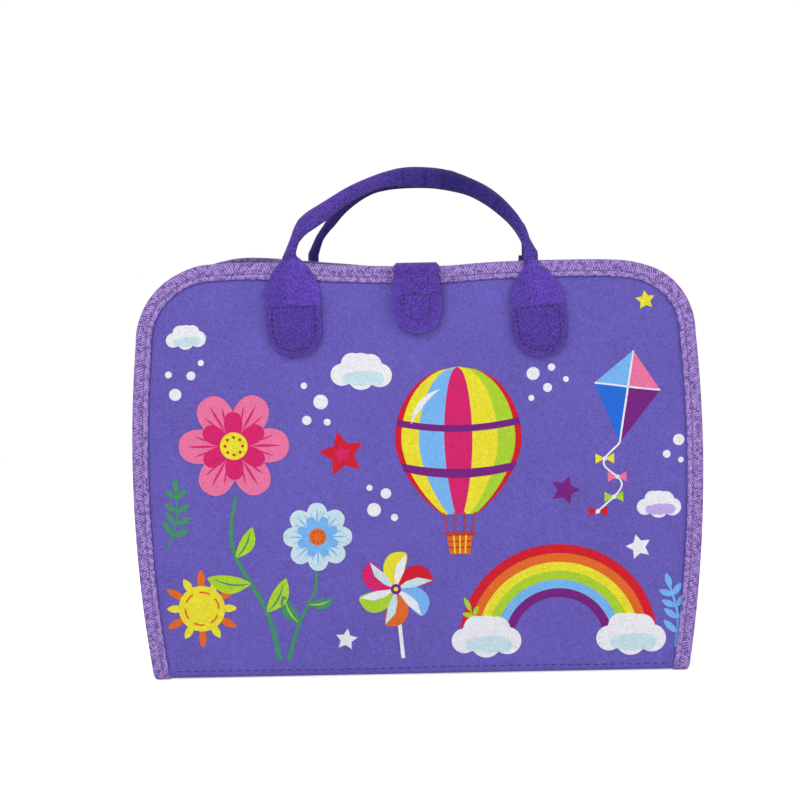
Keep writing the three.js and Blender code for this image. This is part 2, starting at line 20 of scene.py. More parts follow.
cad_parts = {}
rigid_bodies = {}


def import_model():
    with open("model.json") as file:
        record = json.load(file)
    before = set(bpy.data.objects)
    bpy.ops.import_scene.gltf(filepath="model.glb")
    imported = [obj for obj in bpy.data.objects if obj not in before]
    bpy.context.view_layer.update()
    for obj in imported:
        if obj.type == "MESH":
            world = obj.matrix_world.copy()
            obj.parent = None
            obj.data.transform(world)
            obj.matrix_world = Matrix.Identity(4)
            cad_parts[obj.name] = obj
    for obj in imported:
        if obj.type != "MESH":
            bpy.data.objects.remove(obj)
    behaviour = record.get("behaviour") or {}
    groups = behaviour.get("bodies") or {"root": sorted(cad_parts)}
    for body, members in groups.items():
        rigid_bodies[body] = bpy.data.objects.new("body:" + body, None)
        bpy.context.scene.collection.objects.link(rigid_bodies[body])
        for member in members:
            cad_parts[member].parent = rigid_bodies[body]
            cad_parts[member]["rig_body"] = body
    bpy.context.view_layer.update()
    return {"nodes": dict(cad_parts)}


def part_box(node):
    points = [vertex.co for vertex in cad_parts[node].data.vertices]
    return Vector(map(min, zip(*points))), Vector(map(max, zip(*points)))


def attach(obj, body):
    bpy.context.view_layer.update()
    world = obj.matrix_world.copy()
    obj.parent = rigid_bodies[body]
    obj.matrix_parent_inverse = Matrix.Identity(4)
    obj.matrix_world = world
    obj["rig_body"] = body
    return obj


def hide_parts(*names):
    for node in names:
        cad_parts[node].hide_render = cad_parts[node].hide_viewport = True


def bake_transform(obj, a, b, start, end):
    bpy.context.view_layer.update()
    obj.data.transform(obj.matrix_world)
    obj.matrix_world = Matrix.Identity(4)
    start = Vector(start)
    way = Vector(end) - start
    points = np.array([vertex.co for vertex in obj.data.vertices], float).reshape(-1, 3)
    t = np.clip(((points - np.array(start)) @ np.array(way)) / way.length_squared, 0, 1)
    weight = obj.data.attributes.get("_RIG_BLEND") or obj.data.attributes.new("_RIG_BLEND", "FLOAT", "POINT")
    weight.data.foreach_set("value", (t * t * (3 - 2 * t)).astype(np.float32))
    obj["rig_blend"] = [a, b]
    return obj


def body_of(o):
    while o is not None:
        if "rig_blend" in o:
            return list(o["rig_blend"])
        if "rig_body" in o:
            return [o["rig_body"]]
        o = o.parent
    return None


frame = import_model()
MM = 0.001
TURN = 2 * math.pi
log = logging.getLogger("busy_board")

Colour = tuple[float, float, float]
Grid = np.ndarray
Mesh = tuple[Grid, list[Grid]]
Spot = Sequence[float]
Material = bpy.types.Material
Node = bpy.types.Node
Piece = bpy.types.Object
Socket = bpy.types.NodeSocket
LIGHT = (1.0, 1.0, 1.0, 1.0)


def linear(colour: Colour) -> tuple[float, float, float, float]:
    """The linear colour with alpha of an sRGB one, whose parts run from 0 to 255.

    Args:
        colour: red, green and blue as a screen shows them.

    Returns:
        The four numbers that a colour socket takes.
    """
    share = np.asarray(colour, float) / 255
    straight = np.where(share <= 0.04045, share / 12.92, ((share + 0.055) / 1.055) ** 2.4)
    return (*straight.tolist(), 1.0)


def smooth(value: Grid, low: float, high: float) -> Grid:
    """Rises from 0 at low to 1 at high along 3t^2 - 2t^3.

    Args:
        value: the numbers to map.
        low: where the rise starts.
        high: where it ends.

    Returns:
        The mapped numbers.
    """
    share = np.clip((np.asarray(value, float) - low) / (high - low), 0, 1)
    return share * share * (3 - 2 * share)


def bell(value: Grid, middle: float, spread: float) -> Grid:
    """A hump of height 1 at middle: e^(-((value - middle) / spread)^2)."""
    return np.exp(-(((np.asarray(value, float) - middle) / spread) ** 2))


def quarter(rim: Grid, radius: float) -> Grid:
    """A rounded edge's height: a quarter circle from 0 at the rim to 1 at radius and beyond."""
    return np.sqrt(np.clip(1 - (1 - np.clip(rim / radius, 0, 1)) ** 2, 0, 1))


def rays(angle: Grid | float) -> Grid:
    """The direction (cos a, sin a) of each angle a."""
    return np.stack([np.cos(angle), np.sin(angle)], -1)


def unit(rows: Grid) -> Grid:
    """Each row's direction, with length 1."""
    return rows / np.linalg.norm(rows, axis=-1, keepdims=True)


class Num:
    """A number socket of a shader tree, on which +, - and * add Math nodes."""

    def __init__(self, maker: "Nodes", socket: Socket) -> None:
        """Keeps the socket and the tree that it belongs to."""
        self.maker = maker
        self.socket = socket

    def apply(self, operation: str, *others: "Num | float") -> "Num":
        """Adds one Math node.

        Args:
            operation: the Math node's operation.
            others: the values after this one.

        Returns:
            The node's result.
        """
        values = dict(enumerate((self, *others)))
        node = self.maker.node("Math", {"operation": operation}, values)
        return Num(self.maker, node.outputs[0])

    def __add__(self, other: "Num | float") -> "Num":
        """This value plus another."""
        return self.apply("ADD", other)

    def __sub__(self, other: "Num | float") -> "Num":
        """This value less another."""
        return self.apply("SUBTRACT", other)

    def __mul__(self, other: "Num | float") -> "Num":
        """This value times another."""
        return self.apply("MULTIPLY", other)

    def __rsub__(self, other: float) -> "Num":
        """A plain number less this value."""
        return (self * -1.0).apply("ADD", other)

    __radd__ = __add__
    __rmul__ = __mul__

    def wave(self, pitch: float) -> "Num":
        """Runs 0, 1, 0 once in each pitch: 0.5 - 0.5 cos(2 pi value / pitch)."""
        return 0.5 - (self * (TURN / pitch)).apply("COSINE") * 0.5

    def span(self, low: float, high: float) -> "Num":
        """Maps low..high to 0..1 with a soft start and end, and holds 0 and 1 outside.

        Args:
            low: the value that becomes 0.
            high: the value that becomes 1.

        Returns:
            The mapped value.
        """
        values = {"Value": self, "From Min": low, "From Max": high}
        node = self.maker.node("MapRange", {"interpolation_type": "SMOOTHSTEP"}, values)
        return Num(self.maker, node.outputs["Result"])


class Nodes:
    """The node tree of a material or a world."""

    def __init__(self, tree: bpy.types.NodeTree) -> None:
        """Keeps the tree."""
        self.tree = tree

    def feed(self, socket: Socket, value: object) -> None:
        """Links a socket or a Num to an input, or sets a plain value on it.

        Args:
            socket: the input.
            value: what it gets.
        """
        source = value.socket if isinstance(value, Num) else value
        if isinstance(source, Socket):
            self.tree.links.new(source, socket)
        else:
            socket.default_value = source

    def node(self, kind: str, settings: dict | None = None, inputs: dict | None = None) -> Node:
        """Adds any node.

        Args:
            kind: the node's type without its ShaderNode prefix.
            settings: its properties, set first.
            inputs: values or links, by the socket's name or number.

        Returns:
            The node.
        """
        made = self.tree.nodes.new("ShaderNode" + kind)
        for key, value in (settings or {}).items():
            setattr(made, key, value)
        for key, value in (inputs or {}).items():
            self.feed(made.inputs[key], value)
        return made

    def out(self, kind: str, name: str | int) -> Num:
        """One output of a node that needs no inputs, as a number."""
        return Num(self, self.node(kind).outputs[name])


class Maker(Nodes):
    """The node tree of one material, which ends in a Principled shader."""

    def __init__(self, name: str) -> None:
        """Starts a new material of this name."""
        self.material = bpy.data.materials.new(name)
        self.material.use_nodes = True
        super().__init__(self.material.node_tree)
        self.shader = self.tree.nodes["Principled BSDF"]

    def place(self) -> Socket:
        """Object coordinates."""
        return self.node("TexCoord").outputs["Object"]

    def along_and_across(self) -> list[Num]:
        """The two numbers of the piece's own UV map, in metres."""
        vector = self.node("UVMap", {"uv_map": "cloth"}).outputs["UV"]
        return [Num(self, out) for out in self.node("SeparateXYZ", None, {0: vector}).outputs[:2]]

    def noise(self, place: Socket, grain: float, detail: float = 3.0,
              roughness: float = 0.6, swirl: float = 0.0) -> Num:
        """Noise of a given grain.

        Args:
            place: the coordinates.
            grain: the size of its features, in millimetres.
            detail: the number of finer layers.
            roughness: how strong they are.
            swirl: how much the noise twists itself.

        Returns:
            A value about 0.5.
        """
        values = {"Vector": place, "Scale": 1 / (grain * MM), "Detail": detail,
                  "Roughness": roughness, "Distortion": swirl}
        return Num(self, self.node("TexNoise", None, values).outputs[0])

    def stretched(self, place: Socket, scale: Spot, turn: float) -> Socket:
        """Coordinates times a scale along each axis, after a turn about z in radians."""
        values = {"Vector": place, "Scale": tuple(scale), "Rotation": (0.0, 0.0, turn)}
        return self.node("Mapping", {"vector_type": "POINT"}, values).outputs[0]

    def mix(self, share: "Num | float", first: object, second: object) -> Socket:
        """A Mix node on colours.

        Args:
            share: 0 for the first colour, 1 for the second.
            first: an sRGB colour of three parts, or a socket.
            second: the same.

        Returns:
            The mixed colour's socket.
        """
        both = [linear(c) if isinstance(c, tuple) else c for c in (first, second)]
        settings = {"data_type": "RGBA", "clamp_factor": True}
        return self.node("Mix", settings, {0: share, 6: both[0], 7: both[1]}).outputs[2]

    def shade(self, colour: object, amount: "Num | float") -> Socket:
        """A colour made lighter or darker: each of its three parts times amount.

        Args:
            colour: an sRGB colour of three parts, or a socket.
            amount: 1 leaves it as it is.

        Returns:
            The shaded colour's socket.
        """
        grey = self.node("CombineXYZ", None, {0: amount, 1: amount, 2: amount}).outputs[0]
        first = linear(colour)[:3] if isinstance(colour, tuple) else colour
        return self.node("VectorMath", {"operation": "MULTIPLY"}, {0: first, 1: grey}).outputs[0]

    def bump(self, height: Num, depth: float, strength: float = 1.0) -> Socket:
        """The normal of a height from 0 to 1 that stands depth millimetres proud."""
        values = {"Strength": strength, "Distance": depth * MM, "Height": height}
        return self.node("Bump", None, values).outputs[0]

    def done(self, colour: Socket, normal: Socket | None = None, **values: object) -> Material:
        """Sets the Principled shader's sockets.

        Args:
            colour: what feeds Base Color.
            normal: what feeds Normal.
            values: other socket names with _ for each space, and their values or links.

        Returns:
            The finished material.
        """
        self.feed(self.shader.inputs["Base Color"], colour)
        if normal:
            self.feed(self.shader.inputs["Normal"], normal)
        for key, value in values.items():
            self.feed(self.shader.inputs[key.replace("_", " ")], value)
        return self.material


@dataclass(frozen=True)
class Felt:
    """Needled felt: short matted fibres with small pits, cloudy over larger areas."""

    name: str
    colour: Colour
    contrast: float = 0.62
    cloud: float = 0.12
    depth: float = 0.4
    grain: float = 0.85
    printed: bool = False
    # Painted light: whether the colour reads it from the mesh, and the dark colour that painted shade mixes
    # towards.
    napped: bool = False
    deep: Colour = (38, 25, 112)

    def make(self) -> Material:
        """Builds the material; a printed one reads the mesh's paint attribute, and one with painted light
        reads a per-vertex attribute of it.

        Where that attribute is above 0 the colour is mixed towards a dark colour as painted shade; below 0
        it is made lighter as painted light.
        """
        maker = Maker(self.name)
        place = maker.place()
        fibres = maker.noise(place, self.grain, 2.0, 0.7, 1.0).span(0.32, 0.68)
        strands = maker.stretched(place, (0.35, 1.0, 1.0), 0.5)
        hairs = maker.noise(strands, self.grain * 0.7, 2.0, 0.6, 2.0).span(0.3, 0.7)
        pits = maker.noise(place, 2.6, 2.0, 0.5, 0.8).span(0.3, 0.5)
        clouds = maker.noise(place, 34.0, 2.0, 0.5, 0.6)
        height = fibres * 0.6 + hairs * 0.4
        light = 1.0 + (height - 0.5) * self.contrast + (clouds - 0.5) * (self.cloud * 2)
        light = (light * (1.0 + pits * 0.08)).apply("MAXIMUM", 0.3)
        base: object = self.colour
        if self.printed:
            base = maker.node("Attribute", {"attribute_name": "paint"}).outputs["Color"]
        # Painted light and shade from a per-vertex attribute: above 0 the colour is mixed towards the
        # painted shade colour, below 0 it is made lighter.
        if self.napped:
            nap = Num(maker, maker.node("Attribute", {"attribute_name": "nap"}).outputs["Fac"])
            base = maker.mix(nap.apply("MAXIMUM", 0.0), base, self.deep)
            light = light * (1.0 - nap.apply("MINIMUM", 0.0) * 0.4)
        return maker.done(maker.shade(base, light), maker.bump(height, self.depth, 0.9), Roughness=0.92,
                          Specular_IOR_Level=0.18, Sheen_Weight=0.16, Sheen_Roughness=0.45)


@dataclass(frozen=True)
class Twill:
    """Woven tape, whose strands lean across it; reads the piece's own UV map in metres."""

    name: str
    strand: Colour = (177, 146, 215)
    gap: Colour = (78, 53, 130)
    pitch: float = 1.32
    lean: float = 25.0
    inner_lean: float = -52.0
    inner_row: float = 3.3
    groove: float = 3.3
    groove_half: float = 0.5
    rim: float = 8.2
    rim_soft: float = 1.6
    rim_shade: float = 0.16
    yarn: float = 1.05
    depth: float = 0.34

    def make(self) -> Material:
        """Builds the material: strands are a cosine of (along + across tan lean) / pitch.

        Inside the seam the strands lean the other way, and noise makes some of them fade.
        """
        maker = Maker(self.name)
        solid = maker.place()
        wobble = maker.noise(solid, 7.0, 2.0) - 0.5
        along, across = maker.along_and_across()
        inner = 1.0 - across.span((self.inner_row - 0.25) * MM, (self.inner_row + 0.25) * MM)
        slope, inner_slope = (math.tan(math.radians(lean)) for lean in (self.lean, self.inner_lean))
        slope = slope + inner * (inner_slope - slope)
        strand = (along + across * slope + wobble * (1.5 * MM)).wave(self.pitch * MM)
        yarn = (across - along * 0.45 + wobble * (0.8 * MM)).wave(self.yarn * MM)
        fade = maker.noise(solid, 2.2, 2.0, 0.6).span(0.36, 0.62)
        ridge = strand.apply("POWER", 0.6) * (0.35 + fade * 0.65)
        fuzz = maker.noise(solid, 0.8, 2.0, 0.7, 0.6).span(0.3, 0.7)
        height = ridge * 0.52 + yarn * (0.3 + fade * 0.7) * 0.2 + fuzz * 0.28
        from_seam = (across - self.groove * MM).apply("ABSOLUTE") * (1 / (self.groove_half * MM))
        groove = 1.0 - from_seam.apply("MINIMUM", 1.0)
        colour = maker.mix(height.span(0.13, 0.72), self.gap, self.strand)
        rim = across.span(self.rim * MM, (self.rim + self.rim_soft) * MM)
        # The groove is darkened as painted shade where the seam sinks in, the rim as painted shade where the
        # tape turns over the edge, and the inner row is painted lighter as a painted highlight.
        light = 0.86 + yarn * 0.16 + fuzz * 0.2 + inner * 0.11 - rim * self.rim_shade - groove * 0.54
        return maker.done(maker.shade(colour, light), maker.bump(height, self.depth, 0.8), Roughness=0.62,
                          Specular_IOR_Level=0.3, Sheen_Weight=0.15, Sheen_Roughness=0.4)


@dataclass(frozen=True)
class Weave:
    """Plain woven webbing or zip cloth: warp ribs along the piece and weft across it."""

    name: str
    colour: Colour
    rib: float = 1.5
    weft: float = 0.9
    depth: float = 0.3

    def make(self) -> Material:
        """Builds the material: the mean of ribs and weft, each a cosine, on alternate phases."""
        maker = Maker(self.name)
        along, across = maker.along_and_across()
        rib = across.wave(self.rib * MM)
        weft = (along + rib * (0.5 * self.weft * MM)).wave(self.weft * MM)
        fuzz = maker.noise(maker.place(), 0.6, 3.0, 0.7)
        height = rib * 0.5 + weft * 0.5
        light = 0.74 + height * 0.26 + fuzz * 0.16
        return maker.done(maker.shade(self.colour, light), maker.bump(height, self.depth, 0.7),
                          Roughness=0.68, Specular_IOR_Level=0.3, Sheen_Weight=0.1)


@dataclass(frozen=True)
class Thread:
    """Twisted sewing thread."""

    name: str
    colour: Colour

    def make(self) -> Material:
        """Builds the material from a fine noise."""
        maker = Maker(self.name)
        grain = maker.noise(maker.place(), 0.4, 2.0, 0.6, 0.5)
        return maker.done(maker.shade(self.colour, 0.8 + grain * 0.4), maker.bump(grain, 0.1, 0.6),
                          Roughness=0.6, Sheen_Weight=0.1)


@dataclass(frozen=True)
class Plastic:
    """Moulded plastic with a fine satin grain and faint handling marks."""

    name: str
    colour: Colour
    roughness: float = 0.38

    def make(self) -> Material:
        """Builds the material: a spark-eroded grain, and roughness that varies in patches."""
        maker = Maker(self.name)
        grain = maker.noise(maker.place(), 0.35, 2.0)
        marks = maker.noise(maker.place(), 6.0, 4.0, 0.7, 1.0)
        return maker.done(maker.shade(self.colour, 0.94 + marks * 0.12), maker.bump(grain, 0.03, 0.4),
                          Roughness=marks * 0.22 + (self.roughness - 0.1), Specular_IOR_Level=0.5)


@dataclass(frozen=True)
class Metal:
    """Plated metal with fine scratches along one direction."""

    name: str
    colour: Colour
    roughness: float = 0.3

    def make(self) -> Material:
        """Builds the material: stretched noise for the scratches, soft noise for the wear."""
        maker = Maker(self.name)
        scratches = maker.noise(maker.stretched(maker.place(), (0.06, 1.0, 1.0), 0.3), 0.4, 3.0)
        wear = maker.noise(maker.place(), 3.0, 3.0)
        rough = scratches * 0.16 + wear * 0.12 + (self.roughness - 0.14)
        return maker.done(maker.shade(self.colour, 0.9 + wear * 0.2), maker.bump(scratches, 0.015, 0.5),
                          Roughness=rough, Metallic=1.0)


@dataclass(frozen=True)
class Pile:
    """Hook or loop tape: a knitted ground covered with rows of tiny loops."""

    name: str
    colour: Colour
    pitch: float = 0.9

    def make(self) -> Material:
        """Builds the material: cells for the loops, noise for their tangle."""
        maker = Maker(self.name)
        place = maker.place()
        cells = maker.node("TexVoronoi", None, {"Vector": place, "Scale": 1 / (self.pitch * MM)})
        loops = Num(maker, cells.outputs["Distance"])
        tangle = maker.noise(place, 0.5, 4.0, 0.7, 2.0)
        height = (1.0 - loops) * 0.5 + tangle * 0.5
        return maker.done(maker.shade(self.colour, 0.5 + height * 0.6), maker.bump(height, 0.5, 0.9),
                          Roughness=0.8, Sheen_Weight=0.2)


class Paint(Enum):
    """The colours of the printed and cut-out motifs, as a screen shows them."""

    RED = (215, 24, 46)
    YELLOW = (240, 228, 50)
    LIME = (175, 215, 50)
    GREEN = (70, 148, 108)
    PINK = (240, 120, 165)
    MAGENTA = (219, 33, 110)
    AQUA = (205, 230, 238)
    SKY = (122, 186, 245)
    BLUE = (35, 110, 222)
    PLUM = (122, 31, 129)
    ORANGE = (232, 108, 40)
    RUST = (196, 60, 34)
    WHITE = (240, 240, 245)
    LILAC = (196, 170, 236)


RED, YELLOW, LIME, GREEN, PINK, MAGENTA, AQUA, SKY, BLUE, PLUM, ORANGE, RUST, WHITE, LILAC = Paint


def linked(name: str, data: bpy.types.ID) -> Piece:
    """A new object that holds this data, linked to the scene."""
    made = bpy.data.objects.new(name, data)
    bpy.context.collection.objects.link(made)
    return made


def fresh(name: str, shape: Mesh, finish: Material, even: bool = True) -> Piece:
    """Makes a mesh object from arrays.

    Args:
        name: the piece's name.
        shape: its vertices in millimetres, and arrays of its faces' vertex numbers.
        finish: its material.
        even: whether it is shaded smooth.

    Returns:
        The object, with its place in its mesh.
    """
    vertices, faces = shape
    mesh = bpy.data.meshes.new(name)
    mesh.from_pydata((vertices * MM).tolist(), [], [row for block in faces for row in block.tolist()])
    mesh.polygons.foreach_set("use_smooth", np.full(len(mesh.polygons), even))
    mesh.materials.append(finish)
    mesh.update()
    return linked(name, mesh)


def volume(vertices: Grid, faces: Iterable[Grid]) -> float:
    """Signed volume of a closed mesh: the sum of a . (b x c) / 6 over its triangle fans."""
    fans = ((vertices[block], k) for block in faces for k in range(1, block.shape[1] - 1))
    return sum(float(np.einsum("ij,ij->", c[:, 0], np.cross(c[:, k], c[:, k + 1]))) / 6 for c, k in fans)


def outward(vertices: Grid, faces: list[Grid]) -> list[Grid]:
    """Turns every face over where the mesh is inside out."""
    order = -1 if volume(vertices, faces) < 0 else 1
    return [block[:, ::order] for block in faces]


def tube(rings: Grid) -> Mesh:
    """A closed skin over rings of points, with a pole at the middle of its first and last ring.

    Args:
        rings: (number of rings, points in each, 3).

    Returns:
        Its vertices and faces.
    """
    count, around = rings.shape[:2]
    vertices = np.concatenate([rings.reshape(-1, 3), rings[:1].mean(1), rings[-1:].mean(1)])
    ids = np.arange(count * around).reshape(count, around)
    after = np.roll(ids, -1, axis=1)
    quads = np.stack([ids[:-1], after[:-1], after[1:], ids[1:]], -1).reshape(-1, 4)
    first, last = count * around, count * around + 1
    start = np.stack([after[0], ids[0], np.full(around, first)], -1)
    end = np.stack([ids[-1], after[-1], np.full(around, last)], -1)
    return vertices, outward(vertices, [quads, start, end])


def slab(top: Grid, bottom: Grid) -> Mesh:
    """A closed sheet between two grids of points of the same shape.

    Args:
        top: (rows, columns, 3) points of one face.
        bottom: the same for the other face.

    Returns:
        Its vertices and faces.
    """
    rows, columns = top.shape[:2]
    ids = np.arange(rows * columns).reshape(rows, columns)
    quads = np.stack([ids[:-1, :-1], ids[:-1, 1:], ids[1:, 1:], ids[1:, :-1]], -1).reshape(-1, 4)
    rim = np.concatenate([ids[0, :-1], ids[:-1, -1], ids[-1, :0:-1], ids[:0:-1, 0]])
    under = rim + rows * columns
    side = np.stack([rim, under, np.roll(under, -1), np.roll(rim, -1)], -1)
    vertices = np.concatenate([top.reshape(-1, 3), bottom.reshape(-1, 3)])
    return vertices, outward(vertices, [quads, quads[:, ::-1] + rows * columns, side])


def joined(parts: Sequence[Mesh]) -> Mesh:
    """Several meshes as one, their faces renumbered.

    Args:
        parts: the meshes.

    Returns:
        The whole's vertices and faces.
    """
    faces, used = [], 0
    for points, blocks in parts:
        faces += [block + used for block in blocks]
        used += len(points)
    return np.concatenate([points for points, _ in parts]), faces


def set_map(piece: Piece, coordinates: Grid) -> None:
    """Writes a UV map in metres.

    Args:
        piece: the object.
        coordinates: one pair of millimetre numbers for each of its vertices.
    """
    mesh = piece.data
    corners = np.zeros(len(mesh.loops), np.int32)
    mesh.loops.foreach_get("vertex_index", corners)
    layer = mesh.uv_layers.new(name="cloth")
    layer.data.foreach_set("uv", (coordinates[corners] * MM).astype(np.float32).ravel())


def set_paint(piece: Piece, colours: Grid) -> None:
    """Writes one linear colour with alpha per vertex as a colour attribute."""
    layer = piece.data.color_attributes.new("paint", "FLOAT_COLOR", "POINT")
    layer.data.foreach_set("color", np.asarray(colours, np.float32).ravel())


def set_nap(piece: Piece, values: Grid) -> None:
    """Writes painted shade (above 0) and painted light (below 0) at each vertex, from -1 to 1."""
    layer = piece.data.attributes.new("nap", "FLOAT", "POINT")
    layer.data.foreach_set("value", np.asarray(values, np.float32).ravel())


def d_line(half: float, straight: float, arc_at: float) -> Grid:
    """The closed line of a D-shaped seam in (x, y), at steps of 0.8 mm.

    Args:
        half: half its width, and its arc's radius.
        straight: the y of its straight side.
        arc_at: the y of its arc's centre; the arc bulges away from the straight side.

    Returns:
        The line's points.
    """
    away = math.copysign(1.0, arc_at - straight)
    line = np.concatenate([
        np.stack([np.linspace(-half, half, 12), np.full(12, straight)], -1)[:-1],
        np.stack([np.full(8, half), np.linspace(straight, arc_at, 8)], -1)[:-1],
        ((0, arc_at) + half * rays(np.linspace(0, math.pi, 24)) * (1, away))[:-1],
        np.stack([np.full(8, -half), np.linspace(arc_at, straight, 8)], -1)[:-1],
    ])
    return evenly(line, 0.8, closed=True)


def settle(piece: Piece, slot: str, body: str, *bend: object) -> Piece:
    """Puts a piece on its body.

    Args:
        piece: the finished piece.
        slot: the record's slot that its finish comes from; not used.
        body: the body that it rides on, or the first of the two that it bends between.
        bend: nothing, or the second body and the points where the bend starts and ends.

    Returns:
        The same piece.
    """
    if bend:
        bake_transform(piece, body, *bend)
    else:
        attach(piece, body)
    log.info("%s: %d faces", piece.name, len(piece.data.polygons))
    return piece


def box_of(node: str) -> tuple[Grid, Grid]:
    """The two corners of a CAD node's box, in millimetres."""
    low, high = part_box(node)
    return np.array(low) / MM, np.array(high) / MM


def lengths(line: Grid) -> Grid:
    """The length of a line from its start to each of its points."""
    return np.concatenate([[0.0], np.cumsum(np.linalg.norm(np.diff(line, axis=0), axis=1))])


def evenly(points: Grid, spacing: float, closed: bool = False) -> Grid:
    """Points at equal steps along a line through the given ones.

    Args:
        points: (n, k) the line's corners.
        spacing: the wished step, in millimetres.
        closed: whether the line ends where it starts.

    Returns:
        (m, k) points; a closed line's first point isn't repeated.
    """
    line = np.concatenate([points, points[:1]]) if closed else np.asarray(points, float)
    run = lengths(line)
    count = max(2, round(run[-1] / spacing))
    places = np.linspace(0, run[-1], count + 1)
    if closed:
        places = places[:-1]
    return np.stack([np.interp(places, run, line[:, k]) for k in range(line.shape[1])], -1)


def refined(outline: Grid, reach: float) -> Grid:
    """A closed outline with its corners kept and each side cut into even steps.

    Args:
        outline: (n, 2) its corners.
        reach: the longest step, in millimetres.

    Returns:
        The cut outline's points.
    """
    ahead = np.roll(outline, -1, 0)
    steps = np.maximum(np.ceil(np.linalg.norm(ahead - outline, axis=1) / reach), 1).astype(int)
    which = np.repeat(np.arange(len(outline)), steps)
    share = (np.arange(steps.sum()) - np.repeat(np.cumsum(steps) - steps, steps)) / steps[which]
    return outline[which] * (1 - share[:, None]) + ahead[which] * share[:, None]


def curve(points: Sequence[Spot], steps: int = 10, closed: bool = False) -> Grid:
    """A smooth line through points, by cubics whose slope at each is half its neighbours' step.

    Args:
        points: the points that it passes.
        steps: the number of steps between two of them.
        closed: whether it runs back to the first.

    Returns:
        The line's points, one row each.
    """
    known = np.asarray(points, float)
    if closed:
        padded = np.concatenate([known[-1:], known, known[:2]])
    else:
        padded = np.concatenate([2 * known[:1] - known[1:2], known, 2 * known[-1:] - known[-2:-1]])
    t = np.linspace(0, 1, steps, endpoint=False)[None, :, None]
    a, b, c, d = (padded[k:len(padded) - 3 + k, None, :] for k in range(4))
    line = 0.5 * (2 * b + (c - a) * t + (2 * a - 5 * b + 4 * c - d) * t ** 2
                  + (3 * b - a - 3 * c + d) * t ** 3)
    line = line.reshape(-1, known.shape[1])
    return line if closed else np.concatenate([line, known[-1:]])


def capsule() -> Mesh:
    """A small closed grain: x = -cos a, and sin a to the power 0.6 times a circle in y and z."""
    angles = np.linspace(0.22, math.pi - 0.22, 5)[:, None]
    width = np.sin(angles) ** 0.6
    turn = np.arange(6)[None] * TURN / 6
    return tube(np.stack([-np.cos(angles) + 0 * turn, width * np.cos(turn), width * np.sin(turn)], -1))


def scattered(grain: Mesh, places: Grid, axes: Grid) -> Mesh:
    """Copies of one small mesh.

    Args:
        grain: its vertices and faces.
        places: (n, 3) where each copy goes.
        axes: (n, 3, 3) what each copy's x, y and z become, with their lengths.

    Returns:
        The copies as one mesh.
    """
    points, blocks = grain
    vertices = places[:, None, :] + np.einsum("kj,njc->nkc", points, axes)
    shift = (np.arange(len(places)) * len(points))[:, None, None]
    faces = [(block[None] + shift).reshape(-1, block.shape[1]) for block in blocks]
    return vertices.reshape(-1, 3), faces


def sewn(name: str, line: Grid, normal: Grid, finish: Material, pitch: float = 4.2,
         stitch: float = 2.6, thread: float = 0.62, closed: bool = False) -> Piece:
    """A run of stitches: one grain per pitch along a line, sunk half into the cloth.

    Args:
        name: the piece's name.
        line: (n, 3) points on the cloth's surface.
        normal: (n, 3) the surface's outward direction there.
        finish: the thread's material.
        pitch: from one stitch to the next, in millimetres.
        stitch: the length of each.
        thread: its width.
        closed: whether the line ends where it starts.

    Returns:
        The stitches as one object.
    """
    both = evenly(np.concatenate([line, normal], 1), pitch / 2, closed)
    places, up = both[::2, :3], both[::2, 3:]
    ahead = np.roll(both, -1, 0)[::2, :3] - np.roll(both, 1, 0)[::2, :3]
    if not closed:
        places, up, ahead = places[1:-1], up[1:-1], ahead[1:-1]
    ahead = unit(ahead)
    side = unit(np.cross(up, ahead))
    up = np.cross(ahead, side)
    axes = np.stack([ahead * stitch / 2, side * thread / 2, up * thread * 0.45], 1)
    return fresh(name, scattered(capsule(), places + up * thread * 0.1, axes), finish)


FRONT, BACK = 1.0, -1.0


